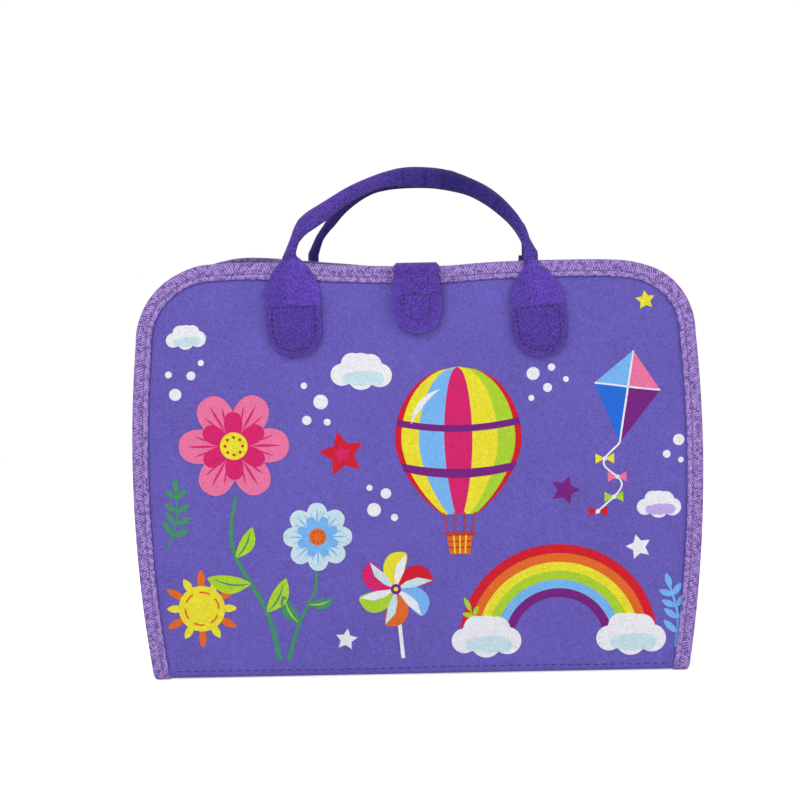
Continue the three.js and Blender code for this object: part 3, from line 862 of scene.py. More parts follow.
@dataclass
class Cover:
    """The shape that a cover and its bottom fold share, as a sheet rolled out flat.

    A point is (x, v, d): x across, v up the sheet (v is z on the wall and runs below 0 round the
    fold to the spine's middle), d the depth inwards from the outer face. The back cover is the
    front one turned half round the z axis.
    """

    side: float
    half_wide: float = 140.0
    widest: float = 100.0
    taper: float = 7.5
    tall: float = 205.0
    half_deep: float = 15.0
    corner: float = 36.0
    lifts: Sequence[tuple[float, float]] = ((-140, 0), (140, 0))
    fold: float = 4.0
    felt: float = 2.7
    thick: float = 5.4
    relief: float = 0.42
    tape_wide: float = 7.7

    @property
    def flip(self) -> Grid:
        """What a point's x, y and z are multiplied by: the back cover is turned half round."""
        return np.array((self.side, self.side, 1.0))

    @property
    def straight(self) -> float:
        """How high up the sheet the round corners start."""
        return self.tall - self.corner

    @property
    def fold_start(self) -> float:
        """Where the fold ends and the spine's flat starts, on the rolled-out sheet."""
        return self.fold * (1 - math.pi / 2)

    @property
    def middle(self) -> float:
        """Where the spine's middle is on the rolled-out sheet."""
        return self.fold_start - (self.half_deep - self.fold)

    def half_at(self, v: Grid) -> Grid:
        """Half the width at v: wide - taper ((v - widest) / widest)^2, then the corner's circle.

        Args:
            v: heights on the rolled-out sheet.

        Returns:
            The half widths.
        """
        level = np.clip(v, 0, self.straight)
        half = self.half_wide - self.taper * ((level - self.widest) / self.widest) ** 2
        rise = np.clip(v - self.straight, 0, self.corner)
        return half - self.corner + np.sqrt(np.maximum(self.corner ** 2 - rise ** 2, 0))

    def lift_at(self, x: Grid) -> Grid:
        """How far the worn top edge stands above its nominal height at x."""
        known = curve(self.lifts, 8)
        return np.interp(x * self.side, known[:, 0], known[:, 1])

    def edge_line(self, spacing: float = 1.6) -> tuple[Grid, Grid, Grid]:
        """The cover's outline from the spine's middle, up, over the top and down again.

        Args:
            spacing: the step along it, in millimetres.

        Returns:
            (n, 2) points, (n, 2) directions inwards and (n,) the length so far.
        """
        up = np.linspace(self.middle, self.straight, 120)
        left = np.stack([-self.half_at(up), up], -1)
        angle = np.linspace(0, math.pi / 2, 40)[1:]
        half = float(self.half_at(np.array(self.straight)))
        arc = (self.corner - half, self.straight) + self.corner * rays(angle) * (-1, 1)
        top_x = np.linspace(arc[-1, 0], 0, 60)[1:]
        top = np.stack([top_x, np.full_like(top_x, self.tall)], -1)
        half_line = np.concatenate([left, arc, top])
        line = np.concatenate([half_line, (half_line * (-1, 1))[-2::-1]])
        line = evenly(line, spacing)
        ahead = unit(np.gradient(line, axis=0))
        inward = np.stack([ahead[:, 1], -ahead[:, 0]], -1)
        return line, inward, lengths(line)

    def from_edge(self, x: Grid, v: Grid) -> Grid:
        """Distance to the outline: to the side, to the top, or to the corner's circle.

        Args:
            x: places across the sheet.
            v: places up the sheet.

        Returns:
            The distances.
        """
        aside = self.half_at(np.minimum(v, self.straight)) - np.abs(x)
        below = self.tall - v
        reach = np.hypot(np.maximum(self.corner - aside, 0), np.maximum(self.corner - below, 0))
        return np.where((aside < self.corner) & (below < self.corner), self.corner - reach,
                        np.minimum(aside, below))

    def swell(self, x: Grid, v: Grid) -> Grid:
        """How far the outer face stands out: slow waves that end at the tape, where it dips.

        Args:
            x: places across the sheet.
            v: places up the sheet.

        Returns:
            The heights.
        """
        wave = (np.sin(x / 13.7 + v / 21.0 + 0.6) * np.cos(v / 17.3 - x / 31.0)
                + 0.7 * np.sin(x / 23.0 - v / 12.9 + 2.1 * self.side) + 0.5 * np.cos(x / 9.9 + 1.3))
        rim = self.from_edge(x, v)
        inside = smooth(rim, self.tape_wide + 1, self.tape_wide + 18) * smooth(v, 9, 26)
        dip = 0.75 * np.exp(-np.maximum(rim - self.tape_wide, 0) / 1.5)
        return (self.relief * 0.5 * wave + 0.35) * inside - dip * smooth(v, 0, 8)

    def place(self, x: Grid, v: Grid, d: Grid) -> Grid:
        """Puts points of the rolled-out sheet where they are on the shut case.

        The wall is y = -half_deep + d. The fold is a quarter circle of radius fold - d, and the
        spine's flat is z = d.

        Args:
            x: places across.
            v: places up the sheet.
            d: depths below the outer face.

        Returns:
            (..., 3) points in millimetres.
        """
        x, v, d = np.broadcast_arrays(*(np.asarray(a, float) for a in (x, v, d)))
        radius = np.maximum(self.fold - d, 0.3)
        centre_y, centre_z = -(self.half_deep - d - radius), d + radius
        angle = np.clip((self.fold - v) / (self.fold - self.fold_start), 0, 1) * (math.pi / 2)
        y = centre_y - radius * np.cos(angle)
        z = centre_z - radius * np.sin(angle)
        flat = np.clip((self.fold_start - v) / (self.fold_start - self.middle), 0, 1)
        y = y * (1 - flat)
        join = np.clip((v - self.fold) / self.fold, 0, 1)
        z = np.where(v > self.fold, centre_z * (1 - join) + 2 * self.fold * join, z)
        z = np.where(v > 2 * self.fold, v, z)
        z = z + self.lift_at(x) * smooth(v, 110, self.tall)
        return np.stack([x, y, z], -1) * self.flip

    def on_face(self, x: Grid, v: Grid, proud: Grid = 0.0) -> Grid:
        """Points that stand proud of the outer felt, swell included."""
        return self.place(x, v, 0.3 - self.swell(x, v) - proud)

    def facing(self, x: Grid, v: Grid) -> Grid:
        """The outer face's direction, from the two slopes of on_face.

        Args:
            x: places across the sheet.
            v: places up the sheet.

        Returns:
            Directions of length 1.
        """
        step = 0.5
        across = self.on_face(x + step, v) - self.on_face(x - step, v)
        up = self.on_face(x, v + step) - self.on_face(x, v - step)
        return unit(np.cross(across, up))

    def fold_ends(self) -> tuple[Vector, Vector]:
        """The two points between which cloth turns from the spine to the cover."""
        reach = 3 / math.sqrt(2)
        low = np.array([0, (-self.half_deep + reach) * self.side, -reach])
        high = np.array([0, (-self.half_deep - reach) * self.side, reach])
        return Vector(low * MM), Vector(high * MM)


@dataclass
class CoverCloth:
    """The cloth of one cover: outer felt, page felt, folded tape and their stitching."""

    shape: Cover
    body: str
    felt: Material
    page: Material
    tape: Material
    thread: Material
    tape_thread: Material
    inset: float = 1.4
    tape_proud: float = 0.5
    tape_stitch: float = 2.9
    columns: int = 100
    near_edge: Spot = (1.4, 4.0, 6.6, 7.8, 8.6, 9.2, 9.8, 10.6, 11.8, 13.6, 16.0)

    def bend(self, piece: Piece, slot: str) -> Piece:
        """Lets a piece follow the spine below and the cover above the fold."""
        return settle(piece, slot, "spine", self.body, *self.shape.fold_ends())

    def grid(self) -> tuple[Grid, Grid]:
        """The x and v of the felt's grid: even rows, finer in the fold and the round corners."""
        shape = self.shape
        near = np.array(self.near_edge)
        up = np.concatenate([
            [shape.middle],
            np.linspace(shape.middle + 0.04, shape.fold_start, 5)[:-1],
            np.linspace(shape.fold_start, 2 * shape.fold, 12)[:-1],
            np.linspace(2 * shape.fold, shape.straight, 62)[:-1],
            np.linspace(shape.straight, shape.tall - near[-1], 11)[:-1],
            shape.tall - near[::-1],
        ])
        left = -1 + (near - near[0]) / (shape.half_wide - near[0])
        flat = np.linspace(left[-1], -left[-1], self.columns)
        across = np.concatenate([left[:-1], flat, -left[-2::-1]])
        x = across[None, :] * (shape.half_at(up) - self.inset)[:, None]
        return x, np.repeat(up[:, None], x.shape[1], 1)

    def outer_felt(self) -> Piece:
        """The printed side's felt, from the spine's middle to the top edge."""
        x, v = self.grid()
        shape = self.shape
        sheet = slab(shape.on_face(x, v), shape.place(x, v, shape.felt))
        piece = fresh(f"{self.body}_cloth", sheet, self.felt)
        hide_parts(f"{self.body}_felt", "spine_felt")
        return self.bend(piece, "cover_felt")

    def page_felt(self) -> Piece:
        """The inner page's felt, which runs on as the spine's lining."""
        x, v = self.grid()
        shape = self.shape
        sheet = slab(shape.place(x, v, shape.felt + 0.02), shape.place(x, v, shape.thick))
        name = self.body.replace("cover", "page")
        piece = fresh(f"{name}_cloth", sheet, self.page)
        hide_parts(f"{name}_felt", "spine_lining")
        return self.bend(piece, "page_felt")

    def tape_section(self) -> Grid:
        """The tape's closed section: (a, d) with a inwards from the edge and d the depth."""
        proud, thick, wide = self.tape_proud, self.shape.thick, self.shape.tape_wide
        groove = self.tape_stitch
        outer = [
            (wide, 0.35), (wide + 0.05, -0.05), (wide - 0.4, -proud), (wide - 1.4, -proud - 0.08),
            (wide - groove + 0.5, -proud + 0.06), (wide - groove, -proud + 0.22),
            (wide - groove - 0.5, -proud + 0.06), (wide - groove - 2, -proud - 0.06),
            (2.4, -proud), (1.0, -proud + 0.22), (0.28, -proud + 0.75), (-0.1, 0.9),
            (-0.22, thick / 2),
        ]
        inner = [(a, thick - d if k < 12 else d) for k, (a, d) in enumerate(outer[:-1])][::-1]
        hidden = [(wide - 1, thick - 1.1), (1.6, thick - 1.0), (1.6, 1.0), (wide - 1, 1.1)]
        return np.array(outer + inner + hidden)

    def binding(self) -> None:
        """The tape over the edge, its section carried along the outline."""
        line, inward, run = self.shape.edge_line()
        section = self.tape_section()
        at_seam = section[None, :, 0] > self.shape.tape_wide - 0.6
        scallop = 0.16 * np.cos(run * TURN / 2.1)[:, None] * at_seam
        reach = section[None, :, 0] + scallop
        x = line[:, None, 0] + inward[:, None, 0] * reach
        v = line[:, None, 1] + inward[:, None, 1] * reach
        v[0], v[-1] = self.shape.middle, self.shape.middle
        piece = fresh(f"{self.body}_tape", tube(self.shape.place(x, v, section[None, :, 1])), self.tape)
        flat = np.stack(np.broadcast_arrays(run[:, None], lengths(section)[None, :]), -1).reshape(-1, 2)
        set_map(piece, np.concatenate([flat, flat[:1], flat[-1:]]))
        side = self.body.split("_")[0]
        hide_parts(f"{side}_binding_tape", "spine_tape_left", "spine_tape_right")
        self.bend(piece, "binding_tape")

    def tape_stitches(self) -> None:
        """The seam that holds the tape, in the groove near its inner edge."""
        line, inward, _ = self.shape.edge_line()
        reach = self.shape.tape_wide - self.tape_stitch
        x, v = (line + inward * reach).T
        places = self.shape.place(x, v, -self.tape_proud + 0.24)
        facing = self.shape.facing(x, v)
        piece = sewn(f"{self.body}_tape_stitches", places, facing, self.tape_thread, 3.2, 2.2, 0.5)
        self.bend(piece, "binding_tape")

    def foot_stitches(self) -> None:
        """The seam across the cover just above the bottom fold."""
        shape = self.shape
        half = float(shape.half_at(np.array(4.0))) - self.shape.tape_wide - 1
        x = np.linspace(-half, half, 240)
        v = 4.1 + 0.2 * np.sin(x / 23)
        places = shape.on_face(x, v, -0.05)
        piece = sewn(f"{self.body}_foot_stitches", places, shape.facing(x, v), self.thread, 4.2, 2.6, 0.7)
        self.bend(piece, "cover_felt")

    def build(self) -> None:
        """Makes every piece."""
        outer, page = self.outer_felt(), self.page_felt()
        self.binding()
        self.tape_stitches()
        self.foot_stitches()


Shape = tuple[Grid, Paint, int]


def petals(centre: Spot, reach: float, count: int, depth: float, turn: float = 0.0) -> Grid:
    """A flower's outline: radius = reach (1 - depth (1 - |cos(count a / 2)|)^1.3).

    Args:
        centre: its middle.
        reach: the petals' length.
        count: how many there are.
        depth: how far the notches between them reach in, as a share.
        turn: how far it is turned, in radians.

    Returns:
        The outline, one point a row.
    """
    angle = np.arange(96) * TURN / 96
    lobe = 1 - np.abs(np.cos(count * (angle - turn) / 2))
    radius = reach * (1 - depth * lobe ** 1.3)
    return np.asarray(centre) + radius[:, None] * rays(angle)


def disc(centre: Spot, radius: float, points: int = 48) -> Grid:
    """A circle's outline."""
    return np.asarray(centre) + radius * rays(np.arange(points) * TURN / points)


def star(centre: Spot, reach: float, turn: float) -> Grid:
    """A star's outline: straight sides between five tips and waists at half the reach.

    Args:
        centre: its middle.
        reach: from there to a tip.
        turn: how far it is turned, in radians.

    Returns:
        Its ten corners.
    """
    angle = turn + math.pi / 2 + np.arange(10) * math.pi / 5
    radius = np.where(np.arange(10) % 2 == 0, reach, reach * 0.5)
    return np.asarray(centre) + radius[:, None] * rays(angle)


def puffs(centre: Spot, discs: Sequence[Spot]) -> Grid:
    """A cloud's outline: the furthest edge of several discs along each ray from the centre.

    Args:
        centre: the cloud's middle.
        discs: each disc's x and y from there, and its radius.

    Returns:
        The outline, one point a row.
    """
    ray = rays(np.arange(120) * TURN / 120)
    reach = np.zeros(120)
    for x, y, radius in discs:
        along = ray @ (x, y)
        beside = x * ray[:, 1] - y * ray[:, 0]
        inside = radius ** 2 - beside ** 2
        reach = np.maximum(reach, np.where(inside > 0, along + np.sqrt(np.maximum(inside, 0)), 0))
    return np.asarray(centre) + ray * reach[:, None]


def blade(start: Spot, end: Spot, wide: float, bow: float = 0.0, full: float = 0.8) -> Grid:
    """A leaf's outline between two points: half width wide sin(pi t)^full about a bowed line.

    Args:
        start: one tip.
        end: the other tip.
        wide: half the greatest width.
        bow: how far the middle line bows aside.
        full: below 1 the leaf is fuller near its tips.

    Returns:
        The outline, one point a row.
    """
    start, end = np.asarray(start, float), np.asarray(end, float)
    t = np.linspace(0, 1, 25)[:, None]
    across = np.array([start[1] - end[1], end[0] - start[0]])
    across /= np.linalg.norm(across)
    middle = start + (end - start) * t + across * bow * np.sin(math.pi * t)
    half = wide * np.sin(math.pi * t) ** full
    return np.concatenate([middle + across * half, (middle - across * half)[-2:0:-1]])


def band(line: Grid, wide: "float | Grid") -> Grid:
    """A strip's outline about a line.

    Args:
        line: the strip's middle line.
        wide: its width from edge to edge, or one for each point.

    Returns:
        The outline, one point a row.
    """
    line = np.asarray(line, float)
    ahead = unit(np.gradient(line, axis=0))
    across = np.stack([-ahead[:, 1], ahead[:, 0]], -1) * (np.asarray(wide, float) / 2).reshape(-1, 1)
    return np.concatenate([line + across, (line - across)[::-1]])


@dataclass
class Print:
    """Flat motifs on the outer face: each a thin closed patch that follows the felt."""

    shape: Cover
    body: str
    finish: Material
    lift: float = 0.13
    layer: float = 0.05
    reach: float = 2.6
    shapes: list[Shape] = field(default_factory=list)

    def add(self, outline: Grid, paint: Paint, level: int = 0) -> None:
        """Puts one outline in the print at a level above the ones below it."""
        self.shapes.append((np.asarray(outline, float), paint, level))

    def stroke(self, line: Sequence[Spot], wide: float, paint: Paint, level: int = 0) -> None:
        """Paints a line of an even width."""
        self.add(band(line, wide), paint, level)

    def patch(self, outline: Grid, level: int) -> Mesh:
        """A closed patch over an outline, cut into triangles no longer than reach.

        Args:
            outline: (n, 2) its corners in x and v.
            level: how many layers up it lies.

        Returns:
            Its vertices and faces.
        """
        ring = refined(outline, self.reach)
        low, high = ring.min(0), ring.max(0)
        columns, rows = np.meshgrid(np.arange(low[0], high[0], self.reach),
                                    np.arange(low[1], high[1], self.reach * 0.87))
        columns[1::2] += self.reach / 2
        spots = np.column_stack([columns.ravel(), rows.ravel()])
        clear = np.linalg.norm(spots[:, None] - ring[None], axis=2).min(1) > 0.6 * self.reach
        points = [Vector(point) for point in np.concatenate([ring, spots[clear]])]
        net = delaunay_2d_cdt(points, [], [list(range(len(ring)))], 1, 1e-5)
        used, tops = np.unique(np.array(net[2]), return_inverse=True)
        tops = tops.reshape(-1, 3)
        flat = np.array(net[0])[used]
        ways = {(int(a), int(b)) for face in tops for a, b in zip(face, np.roll(face, -1))}
        rim = np.array([way for way in sorted(ways) if way[::-1] not in ways])
        x, v = flat.T
        top = self.shape.on_face(x, v, self.lift + self.layer * level)
        under = self.shape.on_face(x, v, -0.25)
        count = len(flat)
        side = np.stack([rim[:, 1], rim[:, 0], rim[:, 0] + count, rim[:, 1] + count], -1)
        vertices = np.concatenate([top, under])
        return vertices, outward(vertices, [tops, tops[:, ::-1] + count, side])

    def meadow(self) -> None:
        """The design of the front: flowers, a balloon, a rainbow, a kite, stars and dots."""
        self.stem([(-70, 9), (-76, 34), (-92, 66), (-90, 92)], 2.6,
                  [(0.3, 17, 1), (0.48, 19, -1), (0.66, 15, 1)], LIME)
        self.stem([(-66, 9), (-60, 28), (-52, 44), (-51, 56)], 2.2,
                  [(0.42, 14, -1), (0.62, 11, 1)], GREEN)
        self.blossom((-90, 117), 27, 6, (PINK, MAGENTA, YELLOW), 0.26)
        self.blossom((-50, 71), 17, 8, (AQUA, SKY, ORANGE), 0.1)
        self.balloon((20, 118), 31, 37)
        self.rainbow((68, 16), 49, 4.4)
        self.kite((103, 138), 16, 23)
        self.pinwheel((-12, 44), 19)
        self.sun((-108, 36), 11.5)
        self.cloud((-27, 153), 13, AQUA)
        self.cloud((118, 84), 9.5, LILAC)
        self.cloud((-112, 171), 8.5, AQUA)
        self.add(star((-37, 112), 11.5, 0.2), RED)
        self.add(star((-37, 112), 5.0, 0.2), MAGENTA, 1)
        self.add(star((72, 92), 7.5, -0.3), PLUM)
        self.add(star((112, 186), 5.0, 0.1), YELLOW)
        self.add(star((-37, 19), 5.6, -0.15), WHITE)
        self.add(star((108, 63), 6.5, 0.25), WHITE)
        self.sprig((30, 10), (24, 34), LIME)
        self.sprig((126, 12), (123, 44), SKY)
        self.sprig((-124, 66), (-119, 96), GREEN)
        dots = ((-118, 143, 3.0), (-110, 152, 2.2), (-121, 153, 1.7), (-105, 158, 1.5),
                (-47, 138, 3.6), (-54, 129, 2.3), (-44, 128, 1.7), (-55, 146, 1.6),
                (57, 150, 3.2), (64, 143, 2.2), (66, 153, 1.8), (56, 138, 1.5), (73, 147, 1.4),
                (-16, 92, 2.6), (-22, 84, 3.4), (-12, 80, 1.8), (-24, 95, 1.5),
                (128, 116, 2.8), (122, 109, 1.9), (129, 106, 1.4))
        for x, v, radius in dots:
            self.add(disc((x, v), radius, 28), WHITE)

    def stem(self, points: Sequence[Spot], wide: float, leaves: Sequence[Spot], paint: Paint) -> None:
        """A stem with leaves.

        Args:
            points: the stem's line from its foot up.
            wide: its width at the foot; it narrows to six tenths.
            leaves: each a share of the stem's length, a leaf's length and its side, 1 or -1.
            paint: the leaves' colour.
        """
        line = evenly(curve(points), 1.5)
        vein = GREEN if paint is LIME else LIME
        self.stroke(line, np.linspace(wide, wide * 0.6, len(line)), GREEN)
        for share, long, side in leaves:
            k = int(share * (len(line) - 1))
            ahead = unit(line[min(k + 1, len(line) - 1)] - line[k - 1])
            away = np.array([ahead[1], -ahead[0]]) * side
            reach = (ahead * 0.72 + away * 0.9) * long
            self.add(blade(line[k], line[k] + reach, long * 0.24, -side * long * 0.1), paint, 1)
            self.add(blade(line[k], line[k] + reach * 0.86, 0.45, -side * long * 0.09), vein, 2)

    def blossom(self, centre: Spot, reach: float, count: int, paints: Sequence[Paint],
                depth: float) -> None:
        """A flower: petals, darker inner petals with veins, and a dotted heart.

        Args:
            centre: its middle.
            reach: the petals' length.
            count: how many there are.
            paints: the colours of the petals, the inner petals and the heart.
            depth: how far the notches between petals reach in, as a share.
        """
        outer, inner, heart = paints
        middle = np.asarray(centre)
        self.add(petals(centre, reach, count, depth + 0.12), outer, 2)
        self.add(petals(centre, reach * 0.62, count, depth + 0.3, math.pi / count), inner, 3)
        for k in range(count):
            ray = reach * rays(TURN * (k + 1) / count)
            side = np.array([-ray[1], ray[0]]) * 0.12
            self.add(blade(middle + ray * 0.3, middle + ray * 0.84, reach * 0.022), inner, 4)
            for sign in (1, -1):
                ends = [middle + ray * far + side * sign * off for far, off in ((0.4, 0.6), (0.72, 1.6))]
                self.add(blade(*ends, reach * 0.014), inner, 4)
        self.add(disc(centre, reach * 0.25), heart, 5)
        for dot in disc(centre, reach * 0.16, 8):
            self.add(disc(dot, reach * 0.028, 12), RUST, 6)

    def balloon(self, centre: Spot, wide: float, tall: float) -> None:
        """A hot-air balloon: gores between meridians, two bands, ropes and a basket.

        Args:
            centre: the envelope's middle.
            wide: half its width.
            tall: half its height.
        """
        middle = np.asarray(centre, float)
        share = np.linspace(-1, 1, 41)
        half = np.where(share > 0, np.sqrt(np.maximum(1 - share ** 2, 0)),
                        np.maximum(0.27 + 0.73 * (1 - np.abs(share) ** 1.75) ** 0.9, 0.2))
        edges = [middle + np.stack([wide * half * angle, tall * share], -1)
                 for angle in np.sin(np.linspace(-math.pi / 2, math.pi / 2, 8))]
        colours = (RED, YELLOW, SKY, MAGENTA, YELLOW, LIME, RED)
        for left, right, paint in zip(edges, edges[1:], colours):
            self.add(np.concatenate([left, right[-2::-1]]), paint)
        t = np.linspace(-1, 1, 25)
        for levels in ((-0.42, -0.3), (0.2, 0.29)):
            under, top = (middle + np.stack([np.interp(level, share, half) * wide * t,
                                             tall * level - 0.09 * tall * (1 - t ** 2)], -1)
                          for level in levels)
            self.add(np.concatenate([under, top[::-1]]), PLUM, 1)
        shine = middle + rays(np.linspace(0.62 * math.pi, 0.9 * math.pi, 16)) * (wide * 0.78, tall * 0.74)
        self.stroke(shine, 2.6 * np.sin(np.linspace(0.05, math.pi - 0.05, 16)) + 0.2, WHITE, 1)
        basket = middle - (0, tall + 13)
        for top, low in ((-0.25, -5.4), (0.25, 5.4), (-0.08, -2.0), (0.08, 2.0)):
            rope = basket + np.array([(wide * top, 14), (low, 2)])
            self.stroke(evenly(rope, 2.0), 0.7, RUST, 1)
        self.add(basket + np.array([(-6.5, 3), (6.5, 3), (5.0, -7), (-5.0, -7)]), ORANGE, 1)
        for half_long, y, thick in ((7.2, 3, 1.8), (5.6, -0.6, 0.8), (5.6, -3.6, 0.8)):
            self.stroke(basket + np.array([(-half_long, y), (half_long, y)]), thick, RUST, 2)
        for x in (-3.0, 0.0, 3.0):
            self.stroke(basket + np.array([(x, 2.4), (x * 0.85, -6.6)]), 0.7, YELLOW, 3)

    def rainbow(self, centre: Spot, reach: float, wide: float) -> None:
        """A rainbow with a cloud at each foot.

        Args:
            centre: the arcs' centre.
            reach: the outer radius.
            wide: the width of each of its six bands.
        """
        middle = np.asarray(centre)
        ray = rays(np.linspace(0, math.pi, 60))
        colours = (RED, ORANGE, YELLOW, LIME, SKY, PLUM)
        for k, paint in enumerate(colours):
            self.stroke(middle + (reach - (k + 0.5) * wide) * ray, wide + 0.02, paint)
        for side in (-1, 1):
            self.cloud(middle + (side * (reach - 3 * wide), 3), 15, AQUA, 2)

    def cloud(self, centre: Spot, size: float, shade: Paint, level: int = 0) -> None:
        """A white cloud of overlapping discs with a shaded foot.

        Args:
            centre: its middle.
            size: the scale of its discs.
            shade: the foot's colour.
            level: how many layers up it lies.
        """
        large = [(0, 0.1, 0.62), (-0.72, -0.12, 0.42), (0.7, -0.14, 0.46), (-0.32, 0.3, 0.42),
                 (0.36, 0.24, 0.44), (0, -0.2, 0.5)]
        small = [(0, 0, 0.3), (-0.55, 0.0, 0.22), (0.5, 0.0, 0.26), (0.26, 0.02, 0.28),
                 (-0.28, 0.0, 0.27)]
        self.add(puffs(centre, size * np.array(large)), WHITE, level)
        foot = np.asarray(centre) + (0.08 * size, -0.26 * size)
        self.add(puffs(foot, size * np.array(small)), shade, level + 1)

    def kite(self, centre: Spot, wide: float, tall: float) -> None:
        """A kite of four quarters with crossed sticks and a tail of bows.

        Args:
            centre: its middle.
            wide: half its width.
            tall: half its height.
        """
        x, v = centre
        top, low, left, right = (x + 3, v + tall), (x - 4, v - tall), (x - wide, v + 7), (x + wide, v + 3)
        for start, end, paint in ((top, left, SKY), (left, low, BLUE), (low, right, PLUM),
                                  (right, top, PINK)):
            self.add([(x, v + 5), start, end], paint)
        for ends in ((top, low), (left, right)):
            self.stroke(evenly(np.array(ends, float), 3.0), 0.9, WHITE, 1)
        line = evenly(curve([low, (x - 12, v - 33), (x - 3, v - 44), (x - 16, v - 58)]), 1.5)
        self.stroke(line, 0.9, WHITE)
        for share, paint in ((0.25, YELLOW), (0.5, PINK), (0.75, LIME), (0.97, RED)):
            knot = line[int(share * (len(line) - 1))]
            for side in (-1, 1):
                self.add([knot, knot + (4.6 * side, 2.6), knot + (4.6 * side, -2.6)], paint, 1)
            self.add(disc(knot, 1.1, 14), WHITE, 2)

    def pinwheel(self, centre: Spot, reach: float) -> None:
        """A toy windmill of six folded blades on a stick.

        Args:
            centre: its middle.
            reach: the blades' length.
        """
        middle = np.asarray(centre, float)
        self.stroke(evenly(np.array([middle, middle + (3, -reach - 16)]), 3.0), 1.9, WHITE)
        sail = [(0, 0), (0.5, -0.06), (0.98, 0.02), (0.86, 0.4), (0.52, 0.5), (0.2, 0.34)]
        back = np.array([(0, 0), (0.5, -0.06), (0.98, 0.02), (0.62, 0.18), (0.3, 0.14)])
        colours = (RED, YELLOW, MAGENTA, LIME, ORANGE, SKY)
        for k, paint in enumerate(colours):
            x, y = rays(k * TURN / 6 + 0.2)
            spin = reach * np.array([[x, y], [-y, x]])
            self.add(middle + curve(sail, 6, closed=True) @ spin, paint, 1)
            self.add(middle + back @ spin, WHITE if k % 2 else AQUA, 2)
        self.add(disc(centre, 2.6, 24), PLUM, 3)
        self.add(disc(centre, 1.1, 14), YELLOW, 4)

    def sun(self, centre: Spot, reach: float) -> None:
        """A sun: a disc, an inner ring and twelve rays.

        Args:
            centre: its middle.
            reach: the disc's radius.
        """
        middle = np.asarray(centre)
        for k in range(12):
            ray = reach * rays(k * TURN / 12)
            far, paint = (1.72, ORANGE) if k % 2 else (1.5, YELLOW)
            self.add(blade(middle + ray * 0.8, middle + ray * far, 1.9, full=0.7), paint)
        self.add(disc(centre, reach), YELLOW, 1)
        ring = middle + reach * 0.72 * rays(np.linspace(0, TURN, 49))
        for k in range(6):
            self.stroke(ring[8 * k:8 * k + 6], 0.9, ORANGE, 2)

    def sprig(self, foot: Spot, tip: Spot, paint: Paint) -> None:
        """A leafy twig: a bowed stalk with pairs of small leaves and one at its tip.

        Args:
            foot: where it starts.
            tip: where it ends.
            paint: its colour.
        """
        foot, tip = np.asarray(foot, float), np.asarray(tip, float)
        middle = (foot + tip) / 2 + np.array([tip[1] - foot[1], foot[0] - tip[0]]) * 0.08
        line = evenly(curve([foot, middle, tip]), 1.2)
        long = float(np.linalg.norm(tip - foot))
        self.stroke(line, 1.1, paint)
        for share in (0.25, 0.45, 0.65, 0.85):
            k = int(share * (len(line) - 1))
            ahead = unit(line[k + 1] - line[k - 1])
            for side in (-1, 1):
                away = np.array([ahead[1], -ahead[0]]) * side
                end = line[k] + (ahead * 0.8 + away) * long * 0.22 * (1.15 - 0.4 * share)
                self.add(blade(line[k], end, long * 0.05), paint, 1)
        self.add(blade(line[-3], line[-1] + (line[-1] - line[-4]) * 1.6, long * 0.05), paint, 1)

    def build(self, name: str) -> None:
        """Joins the meadow's motifs into one piece, and paints each with its own colour.

        Args:
            name: the piece's name.
        """
        self.meadow()
        parts = [self.patch(outline, level) for outline, _, level in self.shapes]
        piece = fresh(name, joined(parts), self.finish, even=False)
        paints = [np.tile(linear(paint.value), (len(part[0]), 1))
                  for (_, paint, _), part in zip(self.shapes, parts)]
        set_paint(piece, np.concatenate(paints))
        settle(piece, "cover_felt", self.body)


